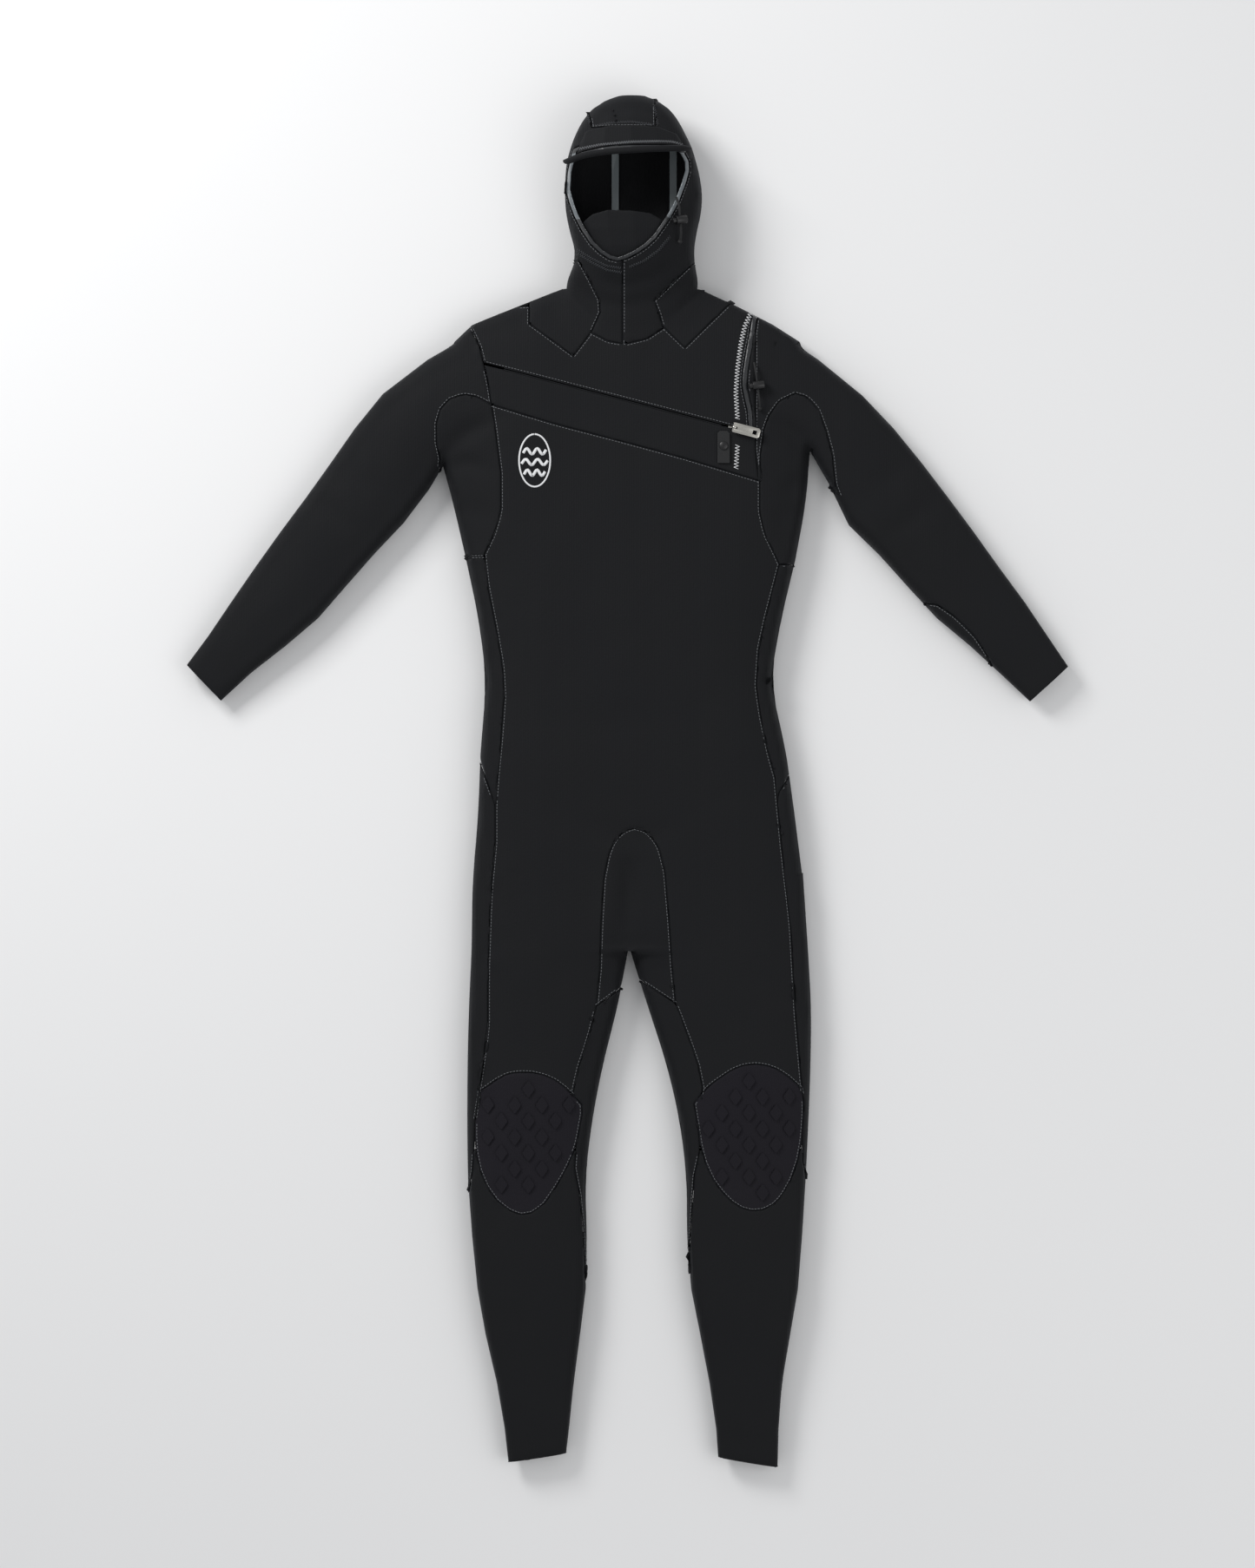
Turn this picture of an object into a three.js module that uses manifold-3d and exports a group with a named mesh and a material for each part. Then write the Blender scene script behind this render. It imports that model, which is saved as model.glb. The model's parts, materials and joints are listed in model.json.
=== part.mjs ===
// A hooded chest-zip full wetsuit, laid flat on its back. Millimetres, +Z up, head towards +Y, the wearer's left
// towards +X. The origin is the middle of the suit's footprint, on the surface that it lies on.
//
// The neoprene is one shell: an outer form lofted through the torso, sleeves, legs and hood, less the same form
// drawn in by the neoprene's thickness. Panels are cut out of that shell one after another, as from a bolt.
import * as THREE from "three";
import Module from "manifold-3d";
import { mergeVertices } from "three/addons/utils/BufferGeometryUtils.js";

const wasm = await Module();
wasm.setup();

// ---------- Driving dimensions ----------
const SUIT_LENGTH = 1676; // ankle hem to top of hood
const ARM_SPAN = 1080; // cuff to cuff, as the sleeves lie
const NEOPRENE = 4; // panel thickness
const SEAM_GAP = 0.5; // between neighbouring panels
const FOLD_HEIGHT = 18; // height of the edge where front and back meet
const FRONT_RISE = 36; // chest front above that edge
const SLEEVE_RISE = 27; // upper sleeve above that edge
const THIGH_RISE = 30; // thigh above that edge
const HEM_RISE = 9; // cuffs and ankles above that edge
const FOLD_WIDTH = 26; // width of the round at the lower edge
const HOOD_HEIGHT = 105; // top of the face opening above the surface
const HOOD_FOLD_WIDTH = 52; // the hood's rounder lower edge

const TAPE = 0.8; // liquid tape over the inner seams
const TAPE_WIDTH = 9;
const LAYER_GAP = 0.5; // between two layers that lie on each other

const ZIP_LENGTH = 270; // teeth, end to end
const TOOTH_HEIGHT = 3;
const TOOTH_WIDTH = 3.2;
const TAPE_REACH = 15; // zip tape, from the teeth outwards
const ZIP_TAPE = 0.9;
const RUNNING = 0.4; // clearance of the slider on the teeth
const SLIDER_LENGTH = 15;
const SLIDER_WIDTH = 12;
const SLIDER_PLATE = 1.4;
const WEB = 1.9; // slider's web, which runs between the rows and the lips
const LIP_CLEARANCE = 0.45; // on each side of the web
const LIP_GAP = WEB + 2 * LIP_CLEARANCE; // slot between the two lips over the zip
const PIN_RADIUS = 0.9;
const PULL_LENGTH = 32;
const PULL_WIDTH = 12;
const PULL_THICKNESS = 1.6;
const PULL_SLOPE = 0.05; // the closed pull lies a little downhill, in radians

const TAB_LENGTH = 42;
const TAB_WIDTH = 15;
const TAB_THICKNESS = 1.6;
const SNAP_RADIUS = 5.4;
const SNAP_HEIGHT = 1.8;

const CORD_RADIUS = 1.4;
const LOCK_LENGTH = 15;
const LOCK_RADIUS = 5.5;
const BORE_CLEARANCE = 0.4;
const BARREL_WALL = 1.4;
const PLUNGER_CLEARANCE = 0.7;
const PLUNGER_RADIUS = LOCK_RADIUS - BARREL_WALL - PLUNGER_CLEARANCE;
const PLUNGER_TRAVEL = 2.5;

const TAB_ROOT = 2.6; // the tab's cloth starts this far from its fold line
const SNAP_PLACE = 24; // snap's centre, from the tab's sewn end
const SOCKET_RADIUS = 4;
const SOCKET_WALL = 0.6;
const POST_RADIUS = 1.6;
const LOCK_TRAVEL = 6; // each way along the cord
const LOCK_CLEARANCE = 2.2; // from the cloth
const KNOT_RADIUS = 2.6;
const BARRIER_CLEARANCE = 0.2; // inner flap below the slider, where the chest is highest
const BARRIER_REACH = 24; // the flap's width on each side of the zip
const BARRIER_OVERRUN = 8; // past each end of the teeth
const BARRIER_THICKNESS = 1.5;

// Points are given for one size of suit and graded to the size above.
const BASE_LENGTH = 1676;
const BASE_SPAN = 1080;
const grade = ([x, y]) => new THREE.Vector2((x * ARM_SPAN) / BASE_SPAN, (y * SUIT_LENGTH) / BASE_LENGTH);

// ---------- Solids ----------
function solid(geometry) {
  const bare = geometry.clone();
  bare.deleteAttribute("normal");
  bare.deleteAttribute("uv");
  const merged = mergeVertices(bare, 1e-4);
  return new wasm.Manifold(
    new wasm.Mesh({
      numProp: 3,
      vertProperties: merged.attributes.position.array,
      triVerts: new Uint32Array(merged.index.array),
    }),
  );
}

function geometryOf(manifold) {
  const mesh = manifold.getMesh();
  const geometry = new THREE.BufferGeometry();
  geometry.setAttribute("position", new THREE.BufferAttribute(mesh.vertProperties, 3));
  geometry.setIndex(new THREE.BufferAttribute(mesh.triVerts, 1));
  geometry.computeVertexNormals();
  return geometry;
}

// The largest body of a cut; what the shears leave over falls away.
function withoutOffcuts(manifold) {
  return manifold.decompose().reduce((best, body) => (body.volume() > best.volume() ? body : best));
}

// ---------- The form ----------
// A station is one section of a limb: its two edges, how far it rises above the fold and drops below it, and the
// fold's height. Each limb runs from its hem towards the head.
const station = (left, right, rise, drop = FOLD_HEIGHT, fold = FOLD_HEIGHT) => ({
  left: grade(left),
  right: grade(right),
  rise,
  drop,
  fold,
});

const sleeveRise = (share) => HEM_RISE + (SLEEVE_RISE - HEM_RISE) * share;
const legRise = (share) => HEM_RISE + (THIGH_RISE - HEM_RISE) * share;

const TORSO = [
  station([-191, -205], [221, -205], THIGH_RISE),
  station([-190, -120], [215, -120], THIGH_RISE + 1),
  station([-183, -40], [205, -40], FRONT_RISE - 2),
  station([-180, 40], [194, 40], FRONT_RISE - 1),
  station([-173, 125], [175, 125], FRONT_RISE - 1),
  station([-182, 200], [188, 200], FRONT_RISE),
  station([-198, 275], [206, 275], FRONT_RISE),
  station([-214, 345], [219, 345], FRONT_RISE),
  station([-227, 392], [223, 402], FRONT_RISE),
  station([-236, 445], [230, 450], FRONT_RISE),
  station([-232, 500], [226, 502], FRONT_RISE),
  station([-212, 541], [211, 541], FRONT_RISE - 2),
  station([-190, 562], [178, 562], FRONT_RISE - 5),
  station([-138, 583], [137, 583], FRONT_RISE - 9),
  station([-84, 604], [92, 604], FRONT_RISE - 12),
];

const SLEEVE_RIGHT = [
  station([-540, 145], [-498, 101], HEM_RISE),
  station([-514, 180], [-460, 136], sleeveRise(0.4)),
  station([-485, 223], [-419, 168], sleeveRise(0.6)),
  station([-456, 265], [-379, 202], sleeveRise(0.75)),
  station([-426, 307], [-346, 240], sleeveRise(0.85)),
  station([-394, 350], [-310, 281], sleeveRise(0.93)),
  station([-364, 392], [-274, 319], sleeveRise(1)),
  station([-334, 435], [-243, 360], sleeveRise(1.05)),
  station([-300, 477], [-220, 398], sleeveRise(1.15)),
  station([-245, 519], [-180, 405], sleeveRise(1.3)),
  station([-200, 545], [-140, 415], sleeveRise(1.35)),
];

const SLEEVE_LEFT = [
  station([493, 100], [540, 143], HEM_RISE),
  station([458, 133], [515, 180], sleeveRise(0.4)),
  station([420, 168], [486, 223], sleeveRise(0.6)),
  station([379, 202], [455, 265], sleeveRise(0.75)),
  station([344, 240], [425, 307], sleeveRise(0.85)),
  station([309, 279], [393, 350], sleeveRise(0.93)),
  station([271, 316], [361, 392], sleeveRise(1)),
  station([246, 368], [326, 435], sleeveRise(1.05)),
  station([223, 408], [288, 475], sleeveRise(1.15)),
  station([175, 415], [234, 519], sleeveRise(1.3)),
  station([135, 420], [195, 545], sleeveRise(1.35)),
];

const LEG_RIGHT = [
  station([-146, -832], [-75, -821], HEM_RISE),
  station([-150, -795], [-72, -795], legRise(0.3)),
  station([-158, -745], [-67, -745], legRise(0.45)),
  station([-171, -689], [-60, -689], legRise(0.62)),
  station([-181, -640], [-53, -640], legRise(0.75)),
  station([-188, -583], [-49, -583], legRise(0.85)),
  station([-193, -520], [-51, -520], legRise(0.9)),
  station([-197, -456], [-51, -456], legRise(0.95)),
  station([-196, -392], [-39, -392], legRise(0.97)),
  station([-196, -329], [-27, -329], THIGH_RISE),
  station([-194, -265], [-10, -265], THIGH_RISE),
  station([-191, -201], [1, -201], THIGH_RISE),
  station([-189, -110], [5, -110], THIGH_RISE),
];

const LEG_LEFT = [
  station([111, -826], [184, -838], HEM_RISE),
  station([109, -795], [185, -795], legRise(0.3)),
  station([102, -745], [188, -745], legRise(0.45)),
  station([92, -689], [197, -689], legRise(0.62)),
  station([81, -640], [206, -640], legRise(0.75)),
  station([74, -583], [213, -583], legRise(0.85)),
  station([72, -520], [215, -520], legRise(0.9)),
  station([72, -456], [221, -456], legRise(0.95)),
  station([59, -392], [222, -392], legRise(0.97)),
  station([44, -329], [225, -329], THIGH_RISE),
  station([22, -265], [225, -265], THIGH_RISE),
  station([3, -201], [221, -201], THIGH_RISE),
  station([0, -110], [215, -110], THIGH_RISE),
];

const hoodStation = (left, right, y, fold, rise, drop = fold) => station([left, y], [right, y], rise, drop,
  fold);
const HOOD_FOLD = 48; // the head's widest line
const HOOD_RISE = HOOD_HEIGHT - HOOD_FOLD;
const HOOD = [
  hoodStation(-60, 66, 540, 20, 33),
  hoodStation(-70, 79, 580, 22, 36),
  hoodStation(-77, 87, 604, 28, 42),
  hoodStation(-67, 83, 628, 36, 48),
  hoodStation(-64, 81, 650, 42, HOOD_RISE - 5),
  hoodStation(-71, 85, 675, 46, HOOD_RISE - 3),
  hoodStation(-76, 91, 702, HOOD_FOLD, HOOD_RISE - 1),
  hoodStation(-76, 90, 728, HOOD_FOLD, HOOD_RISE),
  hoodStation(-75, 85, 752, HOOD_FOLD, HOOD_RISE),
  hoodStation(-69, 78, 776, HOOD_FOLD - 1, HOOD_RISE - 3),
  hoodStation(-61, 68, 796, HOOD_FOLD - 2, HOOD_RISE - 9, HOOD_FOLD - 6),
  hoodStation(-49, 57, 816, HOOD_FOLD - 4, HOOD_RISE - 20, HOOD_FOLD - 12),
  hoodStation(-33, 42, 829, HOOD_FOLD - 5, HOOD_RISE - 31, HOOD_FOLD - 22),
  hoodStation(-12, 22, 838, HOOD_FOLD - 6, HOOD_RISE - 45, HOOD_FOLD - 38),
];

const TOP_STEPS = 8;
const CORNER_STEPS = 2;
const TOP_ROUNDNESS = 2.7; // exponent of the upper section; 2 is an ellipse
const CHEST_ROUNDNESS = 3.6;
const HOOD_ROUNDNESS = 2.2;

// One section's outline, in the plane across the limb: (across, height), counter-clockwise from the right edge.
function section(half, fold, rise, drop, cornerWidth, roundness) {
  const points = [];
  for (let i = 0; i <= TOP_STEPS; i++) {
    const angle = (Math.PI * i) / TOP_STEPS;
    const c = Math.cos(angle);
    const across = Math.sign(c) * Math.abs(c) ** (2 / roundness);
    points.push([half * across, fold + rise * Math.abs(Math.sin(angle)) ** (2 / roundness)]);
  }
  const corner = Math.min(cornerWidth, 0.8 * half);
  for (const side of [-1, 1]) {
    for (let i = 1; i <= CORNER_STEPS; i++) {
      const step = side < 0 ? i : CORNER_STEPS + 1 - i;
      const angle = (Math.PI / 2) * (step / CORNER_STEPS);
      points.push([side * (half - corner + corner * Math.cos(angle)), fold - drop * Math.sin(angle)]);
    }
  }
  return points;
}

// A closed solid through the stations. inset draws it in from the neoprene's outer face on every side, and past
// moves the hem end along the limb, to leave that end open.
function limb(stations, { inset = 0, past = 0, rings, cornerWidth = FOLD_WIDTH,
  roundness = TOP_ROUNDNESS }) {
  const edge = (side) => new THREE.SplineCurve(stations.map((s) => s[side]));
  const value = (key) => new THREE.SplineCurve(stations.map((s, i) => new THREE.Vector2(i, s[key])));
  const [left, right] = [edge("left"), edge("right")];
  const [rise, drop, fold] = [value("rise"), value("drop"), value("fold")];
  const positions = [];
  const count = section(1, 0, 1, 1, cornerWidth, roundness).length;
  for (let ring = 0; ring <= rings; ring++) {
    const t = ring / rings;
    const [a, b] = [left.getPoint(t), right.getPoint(t)];
    const across = b.clone().sub(a).normalize();
    const along = new THREE.Vector2(-across.y, across.x);
    const centre = a.clone().add(b).multiplyScalar(0.5);
    if (ring === 0) centre.addScaledVector(along, -past);
    if (ring === rings) centre.addScaledVector(along, -inset);
    const half = Math.max(a.distanceTo(b) / 2 - inset, 1);
    const up = Math.max(rise.getPoint(t).y - inset, 1);
    const down = Math.max(Math.min(drop.getPoint(t).y, fold.getPoint(t).y) - inset, 1);
    for (const [x, z] of section(half, fold.getPoint(t).y, up, down, cornerWidth, roundness)) {
      const p = centre.clone().addScaledVector(across, x);
      positions.push(p.x, p.y, z);
    }
  }
  const index = [];
  for (let ring = 0; ring < rings; ring++) {
    for (let i = 0; i < count; i++) {
      const a = ring * count + i;
      const b = ring * count + ((i + 1) % count);
      index.push(a, a + count, b, b, a + count, b + count);
    }
  }
  for (let i = 1; i < count - 1; i++) {
    index.push(0, i, i + 1);
    const end = rings * count;
    index.push(end, end + i + 1, end + i);
  }
  const geometry = new THREE.BufferGeometry();
  geometry.setAttribute("position", new THREE.Float32BufferAttribute(positions, 3));
  geometry.setIndex(index);
  return solid(geometry);
}

const HEMMED = [
  { stations: SLEEVE_RIGHT, rings: 10 },
  { stations: SLEEVE_LEFT, rings: 10 },
  { stations: LEG_RIGHT, rings: 11 },
  { stations: LEG_LEFT, rings: 11 },
];
const HOOD_SHAPE = { rings: 16, cornerWidth: HOOD_FOLD_WIDTH, roundness: HOOD_ROUNDNESS };
const hoodForm = (inset) => limb(HOOD, { ...HOOD_SHAPE, inset });
const torsoForm = (inset) => limb(TORSO, { inset, past: -inset, rings: 14, roundness: CHEST_ROUNDNESS });

// The whole suit's form, drawn in by inset, with its hems left open by past.
function form(inset, past) {
  const limbs = HEMMED.map(({ stations, rings }) => limb(stations, { inset, past, rings }));
  return limbs.reduce((sum, next) => sum.add(next), torsoForm(inset).add(hoodForm(inset)));
}

const HEM_OVERSHOOT = 8;
const outside = form(0, 0);
let cloth = outside.subtract(form(NEOPRENE, HEM_OVERSHOOT));

// ---------- Cutting ----------
const FLOOR = -10;
const CEILING = 200;
const WRAP = [FLOOR, CEILING]; // a panel that goes round the edge, front and back
const FRONT = [FOLD_HEIGHT, CEILING];
const BACK = [FLOOR, FOLD_HEIGHT];

// A smooth line through graded points, with a few steps between neighbours.
const curve = (points, steps = 1) => new THREE.SplineCurve(points.map(grade))
  .getPoints((points.length - 1) * steps);
const corners = (points) => points.map(grade);

const isClockwise = (outline) => THREE.ShapeUtils.isClockWise(outline);

// The outline moved inwards by distance, or outwards when it is negative.
function inward(outline, distance) {
  const sign = isClockwise(outline) ? -1 : 1;
  return outline.map((point, i) => {
    const before = outline[(i + outline.length - 1) % outline.length];
    const after = outline[(i + 1) % outline.length];
    const [a, b] = [point.clone().sub(before).normalize(), after.clone().sub(point).normalize()];
    const [na, nb] = [new THREE.Vector2(-a.y, a.x), new THREE.Vector2(-b.y, b.x)];
    const middle = na.add(nb);
    const reach = Math.max(middle.lengthSq() / 2, 0.5);
    return point.clone().addScaledVector(middle, (sign * distance) / reach);
  });
}

function prism(outline, [low, high]) {
  const shape = new THREE.Shape(outline);
  const geometry = new THREE.ExtrudeGeometry(shape, { depth: high - low, bevelEnabled: false });
  return solid(geometry.translate(0, 0, low));
}

// Outlines run through the same point where two lines meet, so neighbours that repeat are dropped.
function closed(...lines) {
  const points = lines.flat();
  return points.filter((p, i) => p.distanceTo(points[(i + points.length - 1) % points.length]) > 0.05);
}

// Cuts one panel out of the cloth, clear of its neighbours by the seam gap.
function cut(outline, zone = FRONT) {
  const [low, high] = zone;
  const inner = [low + (low > FLOOR ? SEAM_GAP / 2 : 0), high - (high < CEILING ? SEAM_GAP / 2 : 0)];
  const piece = cloth.intersect(prism(inward(outline, SEAM_GAP), inner));
  cloth = cloth.subtract(prism(outline, zone));
  return withoutOffcuts(piece);
}

// ---------- Seam lines, in the pattern's own points ----------
const NECK_SEAM = [
  [-100, 622], [-84, 600], [-79, 585], [-66, 566], [-45, 549], [-24, 538], [-1, 535],
  [24, 541], [45, 555], [66, 572], [83, 592], [96, 606], [112, 622],
];
const FACE_OPENING = [
  [-62, 766], [-30, 775], [5, 778], [40, 775], [62, 765], [70, 750], [68, 734], [57, 703], [46, 684],
  [31, 662], [16, 649], [-1, 640], [-14, 637], [-28, 644], [-43, 659], [-58, 685], [-66, 707], [-70, 730],
];
const RAGLAN_RIGHT = [[-203, 580], [-193, 560], [-180, 532], [-170, 490], [-165, 461]];
const ARMHOLE_RIGHT = [[-165, 461], [-160, 426], [-154, 378], [-154, 331], [-162, 304], [-175, 277]];
const ARMHOLE_LEFT = [[161, 369], [161, 331], [167, 304], [178, 282], [185, 267]];
const GUSSET_RIGHT = [[-165, 461], [-183, 471], [-200, 474], [-217, 468], [-228, 456], [-233, 439],
  [-233, 416], [-229, 396]];
const GUSSET_LEFT = [
  [161, 369], [162, 402], [166, 431], [172, 448], [185, 466], [204, 475], [219, 471],
  [232, 457], [242, 431], [250, 402], [254, 365],
];
const FLAP_SEAM = [[-166, 461], [-91, 438], [-10, 417], [71, 395], [161, 368]];
const YOKE_EDGE = [[166, 592], [158, 566], [155, 545], [150, 520], [147, 500], [146, 485], [149, 469],
  [153, 452], [155, 422]];
const SIDE_RIGHT = [[-174, 276], [-170, 240], [-160, 189], [-152, 142], [-150, 106], [-154, 52], [-158, 11],
  [-161, -26]];
const SIDE_LEFT = [[185, 267], [169, 205], [160, 165], [157, 118], [162, 83], [172, 35], [180, 7],
  [182, -16]];
const THIGH_RIGHT = [[-161, -26], [-161, -73], [-167, -138], [-170, -227], [-170, -299], [-181, -376],
  [-186, -410],
  [-187, -446], [-189, -475], [-194, -502], [-202, -520]];
const THIGH_LEFT = [[182, -16], [188, -78], [199, -174], [205, -284], [213, -373], [214, -400], [213, -435],
  [214, -462], [219, -490], [228, -515]];
const INNER_RIGHT = [[-38, -272], [-48, -311], [-60, -347], [-67, -378], [-62, -410], [-63, -440],
  [-65, -470],
  [-59, -502], [-55, -543], [-53, -600], [-46, -640]];
const INNER_LEFT = [[59, -269], [75, -311], [86, -342], [92, -372], [85, -400], [88, -430], [88, -452],
  [82, -480], [79, -527], [77, -559], [77, -600], [68, -640]];
const CROTCH = [[-38, -272], [-34, -227], [-32, -167], [-29, -117], [-22, -80], [-9, -61], [7, -54],
  [23, -58],
  [38, -76], [46, -108], [51, -167], [55, -227], [59, -269]];
const KNEE_RIGHT = [[-181, -377], [-166, -366], [-148, -355], [-127, -352], [-104, -355], [-85, -364],
  [-69, -378],
  [-55, -394], [-57, -412], [-62, -440], [-72, -466], [-88, -494], [-106, -518], [-127, -527], [-148, -519],
  [-168, -499], [-181, -470], [-186, -440], [-186, -410]];
const KNEE_LEFT = [[81, -391], [95, -373], [113, -359], [132, -347], [153, -342], [173, -345], [191, -354],
  [213, -374],
  [215, -400], [213, -435], [205, -471], [190, -502], [174, -517], [155, -522], [136, -517], [119, -503],
  [103, -482], [91, -452], [86, -422]];
const FOREARM_LEFT = [[355, 222], [379, 218], [401, 203], [424, 180], [438, 160], [452, 135]];
const FOREARM_RIGHT = [[-355, 222], [-379, 218], [-401, 203], [-424, 180], [-438, 160], [-452, 135]];
const BACK_YOKE_LINE = 318; // across the shoulder blades
const SEAT_LINE = -62; // where the back panel meets the thighs
const KNEE_LINE = -448; // where the thigh backs meet the calves
const CENTRE_SEAM = -6; // down the neck's front

// The zip's line: its closed end is at the wearer's left, where the slider rests.
const ZIP_CLOSED = grade([130, 433]);
const ZIP_AIM = grade([-135, 501]).sub(ZIP_CLOSED).normalize();
const ZIP_ANGLE = Math.atan2(ZIP_AIM.y, ZIP_AIM.x);
const onZip = (along, aside = 0) =>
  ZIP_CLOSED.clone().addScaledVector(ZIP_AIM, along).add(new THREE.Vector2(-ZIP_AIM.y, ZIP_AIM.x)
    .multiplyScalar(aside));
const beyond = 60;
const lip = (aside) => [onZip(-beyond, aside), onZip(ZIP_LENGTH + beyond, aside)];

const TAB_SEAM = grade([117, 387]);
const SNAP_CENTRE = TAB_SEAM.clone().add(new THREE.Vector2(0, SNAP_PLACE));
const drill = POST_RADIUS + SEAM_GAP / 2;
cloth = cloth.subtract(solid(new THREE.CylinderGeometry(drill, drill, CEILING, 12).rotateX(Math.PI / 2)
  .translate(SNAP_CENTRE.x, SNAP_CENTRE.y, CEILING / 2 + FOLD_HEIGHT)));

// ---------- Hood and neck ----------
const root = new THREE.Group();
const neoprene = new THREE.MeshStandardMaterial({ color: 0x1a1b1e, roughness: 0.85, metalness: 0 });
const kneeNeoprene = new THREE.MeshStandardMaterial({ color: 0x17171d, roughness: 0.9, metalness: 0 });
const smoothSkin = new THREE.MeshStandardMaterial({ color: 0x2a2c30, roughness: 0.35, metalness: 0 });
const seamTape = new THREE.MeshStandardMaterial({ color: 0x7c8589, roughness: 0.4, metalness: 0 });
const webbing = new THREE.MeshStandardMaterial({ color: 0x141416, roughness: 0.8, metalness: 0 });
const plastic = new THREE.MeshStandardMaterial({ color: 0x101012, roughness: 0.45, metalness: 0 });
const nickel = new THREE.MeshStandardMaterial({ color: 0xb9b6ae, roughness: 0.3, metalness: 1 });
const corrosionProof = new THREE.MeshStandardMaterial({ color: 0x2b2b2e, roughness: 0.4, metalness: 0.8 });

function add(name, geometry, material, parent = root) {
  const mesh = new THREE.Mesh(geometry, material);
  mesh.name = name;
  parent.add(mesh);
  return mesh;
}
const panel = (name, manifold, material = neoprene) => add(name, geometryOf(manifold), material);

const HOOD_TOP = 900; // any height past the crown
const hoodOutline = closed(curve(NECK_SEAM), corners([[112, HOOD_TOP], [-100, HOOD_TOP]]));
const faceOutline = new THREE.SplineCurve([...FACE_OPENING, FACE_OPENING[0]].map(grade)).getPoints(26)
  .slice(1);
const FACE_FRONT = [HOOD_FOLD - 8, CEILING];
const BINDING_WIDTH = 5;

cloth = cloth.subtract(prism(faceOutline, FACE_FRONT));
panel("face_binding", cut(inward(faceOutline, -BINDING_WIDTH), FACE_FRONT), smoothSkin);
panel("hood_crown", cut(corners([[-43, 794], [34, 794], [33, 860], [-55, 860]]), [HOOD_FOLD - 6, CEILING]));
panel("hood_nape", cut(corners([[-15, 560], [56, 560], [56, 800], [30, 860], [-30, 860], [-15, 800]]),
  [FLOOR, 30]));
panel("collar_gore_right", cut(closed(curve([[-59, 636], [-46, 612], [-34, 588], [-33, 573], [-44, 549]]),
  corners([[-66, 520], [-120, 560], [-120, 640]])), [24, CEILING]));
panel("collar_gore_left", cut(closed(curve([[81, 634], [56, 610], [32, 587]]),
  curve([[32, 587], [38, 573], [43, 556]]),
  corners([[70, 530], [130, 590], [130, 634]])), [24, CEILING]));
const centre = grade([CENTRE_SEAM, 0]).x;
const hoodSide = (side) =>
  cut(hoodOutline.map((p) => new THREE.Vector2(side < 0 ? Math.min(p.x, centre) : Math.max(p.x, centre),
    p.y))
    .filter((p, i, all) => p.distanceTo(all[(i + all.length - 1) % all.length]) > 0.05), WRAP);
panel("hood_side_right", hoodSide(-1));
panel("hood_side_left", hoodSide(1));

// ---------- Layers that lie on the hood ----------
// A layer is the space between two copies of a form, inset from the neoprene's outer face by two depths.
const layer = (formAt, outer, inner, outline, zone) =>
  withoutOffcuts(formAt(outer).subtract(formAt(inner)).intersect(prism(outline, zone)));

const inside = NEOPRENE + LAYER_GAP;
panel("chin_guard", layer(hoodForm, inside, inside + 3, closed(
  curve([[-60, 676], [-42, 689], [-24, 693], [3, 692], [27, 689], [48, 678]]),
  curve([[48, 678], [36, 648], [14, 632], [-12, 622], [-36, 636], [-60, 676]])), FACE_FRONT));
for (const [side, x] of [["right", -15], ["left", 56]]) {
  const strip = [[x - TAPE_WIDTH / 2, 600], [x + TAPE_WIDTH / 2, 600], [x + TAPE_WIDTH / 2, 790],
    [x - TAPE_WIDTH / 2, 790]];
  panel(`hood_tape_${side}`, layer(hoodForm, inside, inside + TAPE, corners(strip),
    [FLOOR, HOOD_FOLD - 10]), seamTape);
}

// The peak is sewn on along its upper edge and stands off the brow at its free edge.
const PEAK_THICKNESS = 4;
const PEAK_LIFT = 0.08; // in radians
const PEAK_SEAT = HOOD_HEIGHT - 21; // height of the sewn line's two ends
const peakTop = [[-82, 761], [-74, 771], [-62, 781], [-49, 789], [-23, 793], [5, 794], [37, 792], [61, 785],
  [81, 773]];
const peakHem = [[80, 769], [50, 769], [16, 768], [-19, 767], [-52, 763], [-82, 757]];
const peakEdge = [[80, 762], [50, 762], [16, 761], [-19, 760], [-52, 756], [-82, 750]];
const peakPivot = new THREE.Group();
peakPivot.position.set(0, grade([0, 792]).y, PEAK_SEAT);
peakPivot.rotation.x = -PEAK_LIFT;
root.add(peakPivot);
const peakForm = (outline) => {
  const made = layer(hoodForm, -LAYER_GAP - PEAK_THICKNESS, -LAYER_GAP, outline, [PEAK_SEAT, CEILING]);
  return geometryOf(made).translate(0, -peakPivot.position.y, -peakPivot.position.z);
};
add("peak", peakForm(closed(curve(peakTop), curve(peakHem))), neoprene, peakPivot);
add("peak_binding", peakForm(closed(inward(closed(curve(peakHem.toReversed()), curve(peakEdge)),
  SEAM_GAP))), neoprene, peakPivot);

// ---------- Front of the body ----------
panel("knee_pad_right", cut(new THREE.SplineCurve(KNEE_RIGHT.map(grade)).getPoints(26)), kneeNeoprene);
panel("knee_pad_left", cut(new THREE.SplineCurve(KNEE_LEFT.map(grade)).getPoints(26)), kneeNeoprene);

panel("underarm_gusset_right", cut(closed(curve(ARMHOLE_RIGHT.toReversed()), curve(GUSSET_RIGHT),
  corners([[-232, 375], [-234, 340], [-222, 290], [-204, 277]])), WRAP));
panel("underarm_gusset_left", cut(closed(curve(ARMHOLE_LEFT.toReversed()), curve(GUSSET_LEFT),
  corners([[259, 352], [238, 376], [234, 350], [226, 300], [206, 267]])), WRAP));

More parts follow.
